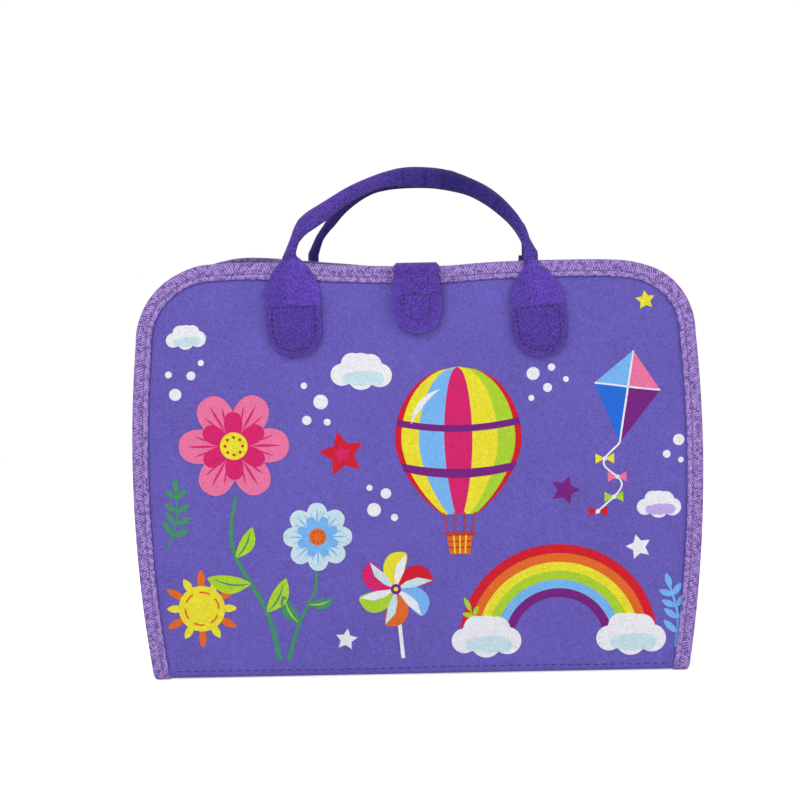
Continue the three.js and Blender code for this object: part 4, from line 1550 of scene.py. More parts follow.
@dataclass
class Handle:
    """A handle: two felt pads sewn to a cover, and a strap of felt folded double between them."""

    shape: Cover
    side_name: str
    half_span: float
    rise: float
    shift: float
    felt: Material
    thread: Material
    route: Sequence[tuple[float, float, float]]
    # Painted shade along the strap, given as (x, amount): above 0 darker, below 0 lighter.
    naps: Sequence[tuple[float, float]]
    neck_z: float = 209.3
    strap_tall: float = 9.6
    strap_thick: float = 5.4
    pad_wide: float = 27.0
    pad_long: float = 49.3
    pad_thick: float = 4.6
    pad_drop: float = 0.0
    neck: float = 5.2
    shoulder: float = 20.0
    necks_low: tuple[float, float] = (0.0, 3.5)
    lean: float = math.atan(13 / 36.8)
    left_turn: float = math.radians(1.2)
    right_turn: float = math.radians(5.4)
    left_nudge: tuple[float, float] = (0.5, -0.6)
    right_nudge: tuple[float, float] = (-1.3, 1.5)
    seam: float = 3.2
    seam_top: float = 24.6
    foot_long: float = 9.0
    foot_sink: float = 3.2

    def strap_line(self) -> tuple[Grid, Grid]:
        """The strap's middle line on the shut case, leaning inwards, and its width along it.

        The line runs on below each neck, sinking into the pad there.
        """
        share = curve(self.route, 8)
        lift = self.strap_thick * math.tan(self.lean) + 0.7
        along = lift + share[:, 1] * self.rise
        x = share[:, 0] * self.half_span + self.shift
        y = -self.shape.half_deep - self.pad_thick
        y = y + self.strap_thick / 2 * math.cos(self.lean) + along * math.sin(self.lean)
        z = self.neck_z + along * math.cos(self.lean) - self.strap_thick / 2 * math.sin(self.lean)
        line = np.stack([x, y, z, share[:, 2]], -1)
        drop = np.linspace(1, 0, 7, endpoint=False)
        sink = np.stack([0 * drop, self.foot_sink * drop ** 1.5, -self.foot_long * drop, 0 * drop], -1)
        line = np.concatenate([line[0] + sink, line, (line[-1] + sink)[::-1]])
        line = evenly(line, 1.0)
        return line[:, :3], line[:, 3]

    def section(self) -> Grid:
        """The folded strap's closed section: (p, q), p out from the arch's inside, q through it.

        The fold is round, the two layers are parted by a slit at the open edge, and a groove
        runs on both faces where they are sewn.
        """
        half, thick = self.strap_tall / 2, self.strap_thick / 2
        one_side = [
            (-half + 1.5, 0.0), (-half + 0.15, 0.28), (-half, 0.9), (-half + 0.05, thick - 0.75),
            (-half + 0.5, thick - 0.16), (-half + 1.5, thick - 0.1), (-half + 2.0, thick - 0.3),
            (-half + 2.5, thick - 0.12), (-half + 3.6, thick), (-0.2, thick + 0.02),
            (1.6, thick), (2.9, thick - 0.3), (half - 0.9, thick - 1.0), (half - 0.28, thick - 1.9),
        ]
        other = [(p, -q) for p, q in one_side[1:]][::-1]
        return np.array(one_side + [(half, 0.0)] + other)

    def strap(self) -> None:
        """The strap: its section carried along the arch, narrower at its necks, with creases."""
        line, wide = self.strap_line()
        ahead = unit(np.gradient(line, axis=0))
        through = np.array([0.0, -math.cos(self.lean), math.sin(self.lean)])
        out = unit(np.cross(through, ahead))
        section = self.section()
        run = np.arange(len(line), dtype=float)
        narrow = wide / self.strap_tall
        x = line[:, 0] * self.shape.side
        pinch = 0.17 * bell(x, -4.5, 0.8) + 0.16 * bell(x, 6, 0.8) + 0.26 * bell(x, 15.5, 0.9)
        pinch = pinch + 0.2 * bell(x, 21, 0.8) + 0.05 * bell(x, -30, 2.0) + 0.08 * bell(x, 41, 1.6)
        wave = 0.1 * np.sin(run / 6.1 + self.rise) + 0.08 * np.sin(run / 3.7)
        p = section[None, :, 0] * narrow[:, None] + (wave - pinch)[:, None] * 0.5
        full = (0.6 + 0.4 * np.minimum(narrow, 1)) * (1 - pinch)
        q = section[None, :, 1] * full[:, None] * (0.97 + 0.03 * np.cos(run / 5.3))[:, None]
        flip = self.shape.flip
        rings = (line[:, None] + out[:, None] * p[..., None] + through * q[..., None]) * flip
        piece = fresh(f"{self.side_name}_strap_cloth", tube(rings), self.felt)
        # Painted shade along the strap from the listed table, with more painted shade in its pinched
        # creases.
        known = np.array(self.naps, float)
        nap = np.repeat(np.interp(x, known[:, 0], known[:, 1]) + 2.4 * pinch, len(section))
        set_nap(piece, np.concatenate([nap, nap[:1], nap[-1:]]))
        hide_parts(f"{self.side_name}_handle_strap")
        self.bend(piece)
        place = (-self.strap_tall / 2 + 2.0) * narrow + (wave - pinch) * 0.5
        seam = line + out * place[:, None]
        inside = slice(20, -20)
        for name, face in (("outer", 1.0), ("inner", -1.0)):
            points = seam + through * (face * (self.strap_thick / 2 - 0.28) * full)[:, None]
            facing = np.tile(through * face, (len(line), 1))
            self.bend(sewn(f"{self.side_name}_strap_seam_{name}", (points * flip)[inside],
                           (facing * flip)[inside], self.thread, 3.4, 2.3, 0.5))

    def bend(self, piece: Piece) -> None:
        """Lets a piece of the strap follow the cover at its feet and the handle above them.

        Args:
            piece: the strap or one of its seams.
        """
        y = -(self.shape.half_deep + self.pad_thick) * self.shape.side * MM
        low, high = (Vector((0, y, (self.neck_z + rise) * MM)) for rise in (-2.8, 4.2))
        settle(piece, "handle_felt", f"{self.side_name}_cover", f"{self.side_name}_handle", low, high)

    def pad_half(self, down: Grid, neck_low: float) -> Grid:
        """Half the pad's width at a distance below its top: a smooth shoulder, then a round end.

        Args:
            down: distances below the pad's top.
            neck_low: how far the neck reaches down before the pad widens.

        Returns:
            Half widths.
        """
        half = self.pad_wide / 2
        share = np.clip((down - neck_low) / self.shoulder, 0, 1)
        shoulder = self.neck / 2 + (half - self.neck / 2) * np.sin(math.pi / 2 * share ** 0.85)
        reach = np.clip(down - (self.pad_long - half), 0, half)
        return np.minimum(shoulder, np.sqrt(np.maximum(half ** 2 - reach ** 2, 0)))

    def pad_height(self, x: Grid, down: Grid, rim: Grid) -> Grid:
        """How proud the pad stands: a rounded rim, a sewn groove, and a ridge below the neck.

        Args:
            x: places across the pad.
            down: distances below the neck.
            rim: distances from the pad's edge.

        Returns:
            Heights above the cover's face.
        """
        body = 2.75 * quarter(rim, 0.9)
        groove = 0.55 * bell(rim, self.seam, 0.55) * smooth(down, 23, 25)
        cross = 0.5 * bell(down, self.seam_top, 0.6) * smooth(rim, self.seam - 0.6, self.seam)
        ridge = (1.7 - 0.9 * (1 - smooth(down, 0, 5))) * bell(x, 0.3, 2.9) * (1 - smooth(down, 14, 27))
        filled = 0.35 * smooth(rim, 3.5, 9) * smooth(down, 26, 32)
        ripple = 0.1 * np.sin(x / 3.1 + down / 5.7)
        return np.maximum(body - groove - cross + ridge * smooth(rim, 0, 3) + filled + ripple, 0.3)

    def pad(self, left: bool) -> None:
        """One pad with its D of stitches.

        Args:
            left: the pad at the left as seen from outside this cover, which stands upright.
        """
        turn = -self.left_turn if left else -self.right_turn
        aside, lower = self.left_nudge if left else self.right_nudge
        neck_low = self.necks_low[0 if left else 1]
        middle = self.shift + (-self.half_span if left else self.half_span) + aside
        down = np.concatenate([
            np.linspace(-0.5, self.pad_long - self.pad_wide / 2, 70)[:-1],
            self.pad_long - self.pad_wide / 2 * (1 - np.sin(np.linspace(0, math.pi / 2 - 0.02, 26))),
        ])
        side = np.sin(np.linspace(-math.pi / 2, math.pi / 2, 45))
        x = side[None] * self.pad_half(down, neck_low)[:, None]
        drop = np.repeat(down[:, None], len(side), 1)
        half = self.pad_wide / 2
        low = self.pad_long - half
        rim = np.where(drop < low, self.pad_half(down, neck_low)[:, None] - np.abs(x),
                       half - np.hypot(x, drop - low))
        rim = np.maximum(rim, 0)
        height = self.pad_height(x, drop, rim)
        top = self.to_case(x, drop + lower, height + 0.25, middle, turn)
        bottom = self.to_case(x, drop + lower, np.full_like(height, 0.05), middle, turn)
        name = f"{self.side_name}_pad_{'left' if left else 'right'}"
        piece = fresh(f"{name}_cloth", slab(top, bottom), self.felt)
        # Painted light: the pad's upper part is painted lighter, more so on its right half, and a painted
        # highlight runs along its lower right rim.
        above = 1 - smooth(drop, 22.5, 25.5)
        lit = -0.55 * above * smooth(x, -7, 3) - 0.25 * above
        lit = lit - 0.9 * bell(rim, 0.5, 0.5) * smooth(x + drop - 20, -2, 12)
        set_nap(piece, np.concatenate([lit.ravel(), np.zeros(lit.size)]))
        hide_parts(name)
        x, down = d_line(half - self.seam, self.seam_top, low).T
        depth = half - np.where(down < low, np.abs(x), np.hypot(x, down - low))
        points = self.to_case(x, down + lower, self.pad_height(x, down, depth) + 0.3, middle, turn)
        facing = np.tile((0.0, -self.shape.side, 0.0), (len(x), 1))
        seam = sewn(f"{name}_seam", points, facing, self.thread, 3.0, 2.0, 0.95, closed=True)
        for made in (piece, seam):
            settle(made, "handle_felt", f"{self.side_name}_cover")

    def to_case(self, x: Grid, down: Grid, proud: Grid, middle: float, turn: float) -> Grid:
        """Puts a pad's points on the case: turned about its neck, then moved there.

        Args:
            x: places across the pad.
            down: distances below its top.
            proud: heights above the cover's face.
            middle: the x of the pad's middle.
            turn: how far the pad is turned, in radians.

        Returns:
            Points in millimetres.
        """
        across = x * math.cos(turn) - down * math.sin(turn)
        drop = x * math.sin(turn) + down * math.cos(turn)
        height = self.neck_z - 0.3 - self.pad_drop - drop
        return np.stack([middle + across, -self.shape.half_deep - proud, height], -1) * self.shape.flip

    def build(self) -> None:
        """Makes the strap and both pads."""
        self.strap()
        self.pad(left=True)
        self.pad(left=False)


@dataclass
class Tab:
    """The closing tab: one strip of felt from the back cover over the top to the front."""

    felt: Material
    thread: Material
    half_wide: float = 12.0
    thick: float = 2.7
    back_y: float = 17.7
    front_y: float = -19.6
    fold_z: float = 202.3
    top_z: float = 205.3
    base_low: float = 172.0
    flap_low: float = 171.3
    round: float = 2.4
    front_round: float = 3.2
    step: float = 0.7
    back_drop: float = 2.8
    shift: float = 0.9
    slimmer: float = 0.9
    tuck: float = 0.8
    overlap: float = 0.36
    seam_inset: float = 5.4
    seam_top: float = 18.8
    seam_low: float = 1.2

    def route(self) -> Grid:
        """The strip's outer face in (y, z), from its foot on the back to its end at the front."""
        turns = np.linspace(0, math.pi / 2, 9)
        crest, low = self.top_z - self.back_drop, self.top_z - self.front_round
        start, end = self.back_y - self.round, self.front_y + self.front_round
        over = np.linspace(start, end, 22)
        line = np.concatenate([
            np.stack([np.full(26, self.back_y), np.linspace(self.base_low, crest - self.round, 26)], -1),
            ((start, crest - self.round) + self.round * rays(turns))[1:],
            np.stack([over, self.top_z - self.back_drop * smooth(over, end, start)], -1)[1:],
            ((end, low) + self.front_round * rays(turns + math.pi / 2))[1:],
            np.stack([np.full(30, self.front_y), np.linspace(low, self.flap_low, 30)], -1)[1:],
        ])
        return evenly(line, self.step)

    def half_at(self, run: Grid, total: float) -> Grid:
        """Half the strip's width: a round end at the front, small corners at the back.

        Args:
            run: lengths along the strip.
            total: the whole strip's length.

        Returns:
            Half widths.
        """
        left = np.clip(self.half_wide - (total - run), 0, self.half_wide)
        end = np.sqrt(np.maximum(self.half_wide ** 2 - left ** 2, 0))
        start = self.half_wide - 2 * (1 - smooth(run, 0, 3))
        waist = self.slimmer * smooth(run, 20, 34) * (1 - smooth(run, total - 30, total - 14))
        fold = self.top_z - self.flap_low
        corner = self.tuck * smooth(total - run, fold - 0.5, fold + 2.2)
        return np.maximum(np.minimum(end, start) - waist - corner, 0.05)

    def strip(self, name: str, side: float, bodies: tuple[str, str], ends: tuple[Vector, Vector],
              stands_for: Sequence[str]) -> None:
        """One half of the strip as a closed piece.

        Args:
            name: the piece's name.
            side: which half of the route it takes, FRONT or BACK.
            bodies: the two bodies between which it bends.
            ends: where the bend starts and ends.
            stands_for: the CAD nodes that it replaces.
        """
        line = self.route()
        total = self.step * (len(line) - 1)
        run = np.linspace(0, total, len(line))
        ahead = unit(np.gradient(line, axis=0))
        inward = np.stack([-ahead[:, 1], ahead[:, 0]], -1)
        keep = line[:, 0] * side < self.overlap
        line, run, inward = line[keep], run[keep], inward[keep]
        half = self.half_at(run, total)
        across = np.sin(np.linspace(-math.pi / 2, math.pi / 2, 31))
        x = across[None] * half[:, None]
        left = total - run[:, None]
        aside = half[:, None] - np.abs(x)
        end_rim = self.half_wide - np.hypot(x, np.maximum(self.half_wide - left, 0))
        rim = np.maximum(np.minimum(np.where(left < self.half_wide, end_rim, aside), aside), 0)
        round_rim = 0.8 * (1 - quarter(rim, 0.8))
        seam = 0.3 * self.seam_mask(x, left)
        sag = 0.25 * (x / self.half_wide) ** 2 * bell(run[:, None], total - 33, 6)
        depths = (round_rim + seam + sag, self.thick - 0.3 * round_rim)
        top, low = (line[:, None] + inward[:, None] * depth[..., None] for depth in depths)
        sheet = slab(*(np.dstack([x + self.shift, part]) for part in (top, low)))
        piece = fresh(name, sheet, self.felt)
        # Painted light: the outer face is painted a little lighter all over, with a painted highlight along
        # its rim near the flap's end.
        lit = -0.8 * bell(rim, 0.5, 0.5) * (1 - smooth(left, 8, 20))
        set_nap(piece, np.concatenate([lit.ravel() - 0.12, np.zeros(lit.size)]))
        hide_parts(*stands_for)
        settle(piece, "handle_felt", *bodies, *ends)

    def seam_mask(self, x: Grid, left: Grid) -> Grid:
        """Where the D of stitches at the flap's end presses the felt in.

        Args:
            x: places across the flap.
            left: the length from there to the flap's end.

        Returns:
            1 on the seam's line and 0 off it.
        """
        half, middle = self.half_wide - self.seam_inset, self.half_wide + self.seam_low
        edge = np.where(left < middle, np.hypot(x, middle - left), np.abs(x))
        along = bell(edge, half, 0.5) * (1 - smooth(left, self.seam_top - 0.5, self.seam_top + 0.5))
        return np.maximum(along, bell(left, self.seam_top, 0.5) * (np.abs(x) < half))

    def seam(self) -> None:
        """The D of stitches that holds the patch behind the flap."""
        x, up = d_line(self.half_wide - self.seam_inset, self.seam_top, self.half_wide + self.seam_low).T
        points = np.stack([x + self.shift, np.full(len(x), self.front_y + 0.22), self.flap_low + up], -1)
        facing = np.tile((0.0, -1.0, 0.0), (len(x), 1))
        piece = sewn("tab_flap_seam", points, facing, self.thread, 2.9, 1.9, 0.75, closed=True)
        settle(piece, "handle_felt", "tab_end")

    def build(self) -> None:
        """Makes the strip in its two parts, which meet over the gap between the covers."""
        reach = 3.0 * MM
        back = Vector((0, self.back_y * MM, self.fold_z * MM))
        front = Vector((0, (self.front_y + self.thick) * MM, self.fold_z * MM))
        back_ends = (back + Vector((0, reach, -reach)), back + Vector((0, -reach, reach)))
        front_ends = (front + Vector((0, reach, reach)), front + Vector((0, -reach, -reach)))
        self.strip("tab_back_cloth", BACK, ("back_cover", "tab"), back_ends, ("tab_base",))
        self.strip("tab_front_cloth", FRONT, ("tab", "tab_end"), front_ends, ("tab_bridge", "tab_flap"))
        self.seam()


def replica(node: str, finish: Material, slot: str, bevel: float, steps: int = 3) -> None:
    """A copy of a CAD node with its points merged and its edges rounded, in place of the node.

    Args:
        node: the CAD node's name.
        finish: its material.
        slot: the record's slot that the finish comes from.
        bevel: the radius of its edges, in millimetres.
        steps: the bevel's segments.
    """
    source = frame["nodes"][node]
    mesh = source.data.copy()
    mesh.materials.clear()
    mesh.materials.append(finish)
    net = bmesh.new()
    net.from_mesh(mesh)
    bmesh.ops.remove_doubles(net, verts=net.verts[:], dist=0.01 * MM)
    bmesh.ops.dissolve_limit(net, angle_limit=math.radians(1), verts=net.verts[:], edges=net.edges[:])
    net.to_mesh(mesh)
    net.free()
    piece = linked(f"{node}_made", mesh)
    rounding = piece.modifiers.new("rounding", "BEVEL")
    rounding.width, rounding.segments = bevel * MM, steps
    rounding.limit_method, rounding.angle_limit = "ANGLE", math.radians(32)
    mesh.polygons.foreach_set("use_smooth", np.ones(len(mesh.polygons), bool))
    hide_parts(node)
    settle(piece, slot, body_of(source)[0])


def spread(low: float, high: float, soft: float, step: float) -> Grid:
    """Places from low to high at about one step, with extra ones where the rim is rounded."""
    inner = np.linspace(low + soft, high - soft, max(3, round((high - low) / step)))
    return np.concatenate([[low, low + soft * 0.3], inner, [high - soft * 0.3, high]])


def rounded(low: Grid, high: Grid, corner: float, inset: float) -> Grid:
    """A rectangle's outline in (x, z) with round corners, drawn in by inset.

    Args:
        low: the corner with the smaller numbers.
        high: the opposite corner.
        corner: the radius of the corners before it is drawn in.
        inset: how far it is drawn in.

    Returns:
        The outline's points.
    """
    radius = max(corner - inset, 0.5)
    inner_low, inner_high = low + inset + radius, high - inset - radius
    centres = [(inner_high[0], inner_high[1]), (inner_low[0], inner_high[1]),
               (inner_low[0], inner_low[1]), (inner_high[0], inner_low[1])]
    turns = np.linspace(0, math.pi / 2, 8)
    return np.concatenate([np.array(centre) + radius * rays(turns + k * math.pi / 2)
                           for k, centre in enumerate(centres)])


@dataclass
class Pages:
    """What the inner pages hold: a pocket with its zip, a buckle, a clock and press-on shapes."""

    zip_cloth: Material
    zip_plastic: Material
    metal: Material
    webbing: Material
    plastic: Material
    ink: Material
    pile: Material
    thread: Material
    felts: dict[str, Material]
    tooth_pitch: float = 3.0
    webbing_sewn: float = 22.0
    webbing_face: float = -8.2
    dial_place: tuple[float, float] = (-68.0, 115.0)
    dial_face: float = 7.6
    marks_reach: float = 38.3
    figures_reach: float = 30.5
    figures_tall: float = 9.5
    dial_seam: float = 40.4
    shapes_face: float = 4.72
    circle_place: tuple[float, float] = (24.0, 135.0)
    square_corners: tuple[Spot, Spot] = ((71.5, 118.5), (104.5, 151.5))
    triangle_base: float = 66.88
    triangle_side: float = 42.0

    def flat(self, node: str, finish: Material, slot: str, soft: float = 0.35,
             corner: float = 0.0, puff: float = 0.0, step: float = 3.0) -> Piece:
        """A flat cloth piece in its CAD node's box, with a soft rim and a map across it.

        Args:
            node: the CAD node's name.
            finish: its material.
            slot: the record's slot.
            soft: the radius of its rim, in millimetres.
            corner: the radius of its corners seen from the front.
            puff: how far its middle swells.
            step: the size of its cells.

        Returns:
            The piece.
        """
        low, high = box_of(node)
        outwards = 1.0 if high[1] < 0 else -1.0
        face, back = (high[1], low[1]) if outwards > 0 else (low[1], high[1])
        z = spread(low[2], high[2], soft, step)[:, None]
        middle, half = (low[0] + high[0]) / 2, (high[0] - low[0]) / 2
        share = (spread(low[0], high[0], soft, step)[None] - middle) / half
        close = np.maximum(corner - np.minimum(z - low[2], high[2] - z), 0)
        wide = half - corner + np.sqrt(np.maximum(corner ** 2 - close ** 2, 0))
        x = middle + share * wide
        z = np.broadcast_to(z, x.shape)
        rim = np.minimum(wide - np.abs(x - middle), np.minimum(z - low[2], high[2] - z))
        drop = soft * (1 - quarter(rim, soft))
        swell = puff * smooth(rim, 4, 24) * (0.6 + 0.4 * np.cos(x / 19) * np.cos(z / 15))
        top = np.stack([x, face + outwards * (swell - drop), z], -1)
        sheet = slab(top, np.stack([x, np.full_like(x, back), z], -1))
        piece = fresh(f"{node}_cloth", sheet, finish)
        set_map(piece, sheet[0][:, (0, 2)])
        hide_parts(node)
        return settle(piece, slot, body_of(frame["nodes"][node])[0])

    def seam(self, name: str, outline: Grid, face: float, body: str, slot: str,
             pitch: float = 4.0) -> None:
        """Stitches along a closed outline on a page's face.

        Args:
            name: the seam's name.
            outline: (n, 2) its points in x and z.
            face: the y of the page's face there.
            body: the body that it rides on.
            slot: the record's slot.
            pitch: from one stitch to the next, in millimetres.
        """
        line = evenly(outline, 1.0, closed=True)
        points = np.stack([line[:, 0], np.full(len(line), face), line[:, 1]], -1)
        facing = np.tile((0.0, -math.copysign(1.0, face), 0.0), (len(line), 1))
        piece = sewn(name, points, facing, self.thread, pitch, pitch * 0.62, 0.55, closed=True)
        settle(piece, slot, body)

    def zip(self) -> None:
        """Two lengths of cloth with a row of teeth on each, whose heads lock between each other."""
        for level in ("upper", "lower"):
            self.flat(f"zipper_tape_{level}", self.zip_cloth, "zip_cloth", 0.25)
            low, high = box_of(f"zipper_teeth_{level}")
            outline = np.array([(-0.5, 0), (-0.5, 0.58), (-0.72, 0.69), (-0.72, 0.87), (-0.4, 1),
                                (0.4, 1), (0.72, 0.87), (0.72, 0.69), (0.5, 0.58), (0.5, 0)])
            rings = np.stack([np.stack([outline[:, 0] * grow, np.full(10, y), outline[:, 1]], -1)
                              for y, grow in ((0.0, 1.0), (0.85, 1.0), (1.0, 0.75))])
            first = low[0] + 0.8 + (self.tooth_pitch / 2 if level == "lower" else 0)
            x = np.arange(first, high[0] - 0.7, self.tooth_pitch)
            down = -1.0 if level == "upper" else 1.0
            root = high[2] if level == "upper" else low[2]
            places = np.stack([x, np.full_like(x, low[1]), np.full_like(x, root)], -1)
            axes = np.tile(np.diag([1.0, high[1] - low[1], down * (high[2] - low[2])]), (len(x), 1, 1))
            points, faces = scattered(tube(rings), places, axes)
            if down < 0:
                faces = [block[:, ::-1] for block in faces]
            piece = fresh(f"zipper_teeth_{level}_row", (points, faces), self.zip_plastic, even=False)
            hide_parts(f"zipper_teeth_{level}")
            settle(piece, "zip_plastic", "front_cover")
        for side in ("left", "right"):
            replica(f"zipper_stop_{side}", self.zip_plastic, "zip_plastic", 0.5)
        replica("zipper_slider", self.metal, "metal", 0.6)
        replica("zipper_pull", self.metal, "metal", 0.5)

    def pocket_and_buckle(self) -> None:
        """The pocket behind the zip, and two lengths of webbing that a side-release buckle joins."""
        low, high = box_of("pocket_panel")
        panel = self.flat("pocket_panel", self.felts["pocket"], "pocket_felt", 0.9, 10.0, 0.5)
        (high[0] - low[0]) * MM
        (high[2] - low[2]) * MM
        outline = rounded(low[[0, 2]], high[[0, 2]], 10, 3.0)
        self.seam("pocket_seam", outline, high[1] + 0.02, "front_cover", "pocket_felt")
        for side in ("left", "right"):
            node = f"buckle_webbing_{side}"
            self.flat(node, self.webbing, "webbing", 0.5)
            low, high = (corner[[0, 2]] for corner in box_of(node))
            if side == "left":
                high[0] = low[0] + self.webbing_sewn
            else:
                low[0] = high[0] - self.webbing_sewn
            outline = rounded(low, high, 1.0, 3.0)
            self.seam(f"{node}_seam", outline, self.webbing_face, "front_cover", "webbing", 2.8)
        for half in ("female", "male"):
            replica(f"buckle_{half}", self.plastic, "buckle_plastic", 0.8)

    def clock(self) -> None:
        """A felt dial with figures and minute marks, two hands, and the brad that holds them."""
        replica("clock_dial", self.felts["dial"], "dial_felt", 0.5)
        middle = np.array((self.dial_place[0], self.dial_face, self.dial_place[1]))
        turn = np.arange(60) * TURN / 60
        hour = (np.arange(60) % 5 == 0)[:, None]
        out = np.stack([np.sin(turn), np.zeros(60), np.cos(turn)], -1)
        side = np.stack([np.cos(turn), np.zeros(60), -np.sin(turn)], -1)
        depth = np.tile((0.0, -0.12, 0.0), (60, 1))
        axes = np.stack([side * np.where(hour, 0.55, 0.25), depth, out * np.where(hour, 1.7, 0.9)], 1)
        corners = np.array([(-1.0, -1.0), (1.0, -1.0), (1.0, 1.0), (-1.0, 1.0)])
        rings = np.stack([np.insert(corners, 1, y, axis=1) for y in (-1.0, 1.0)])
        points, faces = scattered(tube(rings), middle + out * self.marks_reach, axes)
        turned = (points, [block[:, ::-1] for block in faces])
        marks = fresh("clock_marks", turned, self.ink, even=False)
        settle(marks, "dial_felt", "back_cover")
        figures = fresh("clock_figures", self.figures(middle), self.ink, even=False)
        settle(figures, "dial_felt", "back_cover")
        ring = np.array(self.dial_place) + self.dial_seam * rays(np.linspace(0, TURN, 90, endpoint=False))
        self.seam("clock_dial_seam", ring, self.dial_face, "back_cover", "dial_felt", 3.6)
        for hand in ("hour", "minute"):
            replica(f"clock_{hand}_hand", self.felts["red"], "red_felt", 0.4)
        replica("clock_brad", self.metal, "metal", 0.7, 4)

    def figures(self, middle: Grid) -> Mesh:
        """The figures 1 to 12 round the dial, from Blender's own font.

        Args:
            middle: the dial's middle on its face.

        Returns:
            Their vertices and faces.
        """
        parts = []
        for number in range(1, 13):
            text = bpy.data.curves.new("figure", "FONT")
            text.body, text.size, text.extrude, text.resolution_u = str(number), self.figures_tall, 0.1, 3
            text.align_x, text.align_y = "CENTER", "CENTER"
            holder = linked("figure", text)
            graph = bpy.context.evaluated_depsgraph_get()
            shape = bpy.data.meshes.new_from_object(holder.evaluated_get(graph))
            known = np.array([tuple(vertex.co) for vertex in shape.vertices])
            angle = number * TURN / 12
            place = middle + self.figures_reach * np.array((math.sin(angle), 0, math.cos(angle)))
            points = place + np.stack([known[:, 0], -known[:, 2], known[:, 1]], -1)
            parts.append((points, [np.array([tuple(face.vertices)]) for face in shape.polygons]))
            bpy.data.objects.remove(holder)
            bpy.data.meshes.remove(shape)
            bpy.data.curves.remove(text)
        return joined(parts)

    def press_on(self) -> None:
        """Three felt shapes, each with stitches near its edge and a pair of patches behind it."""
        outlines = {"circle": disc(self.circle_place, 15.4, 60),
                    "square": rounded(*np.array(self.square_corners), 4.0, 2.6)}
        tall = self.triangle_side * math.sqrt(0.75)
        centre = np.array((56.0, self.triangle_base + tall / 3))
        half = self.triangle_side / 2
        tips = np.array([(-half, -tall / 3), (half, -tall / 3), (0, tall * 2 / 3)])
        outlines["triangle"] = centre + tips * (1 - 3.4 / (tall / 3))
        for name, colour in (("circle", "red"), ("square", "yellow"), ("triangle", "green")):
            replica(f"{name}_shape", self.felts[colour], f"{colour}_felt", 0.6)
            self.seam(f"{name}_seam", outlines[name], self.shapes_face, name, f"{colour}_felt", 3.6)
            for side in ("hook", "loop"):
                replica(f"{name}_{side}_patch", self.pile, "hook_loop", 0.25, 2)

    def build(self) -> None:
        """Makes everything on both pages."""
        self.zip()
        self.pocket_and_buckle()
        self.clock()
        self.press_on()


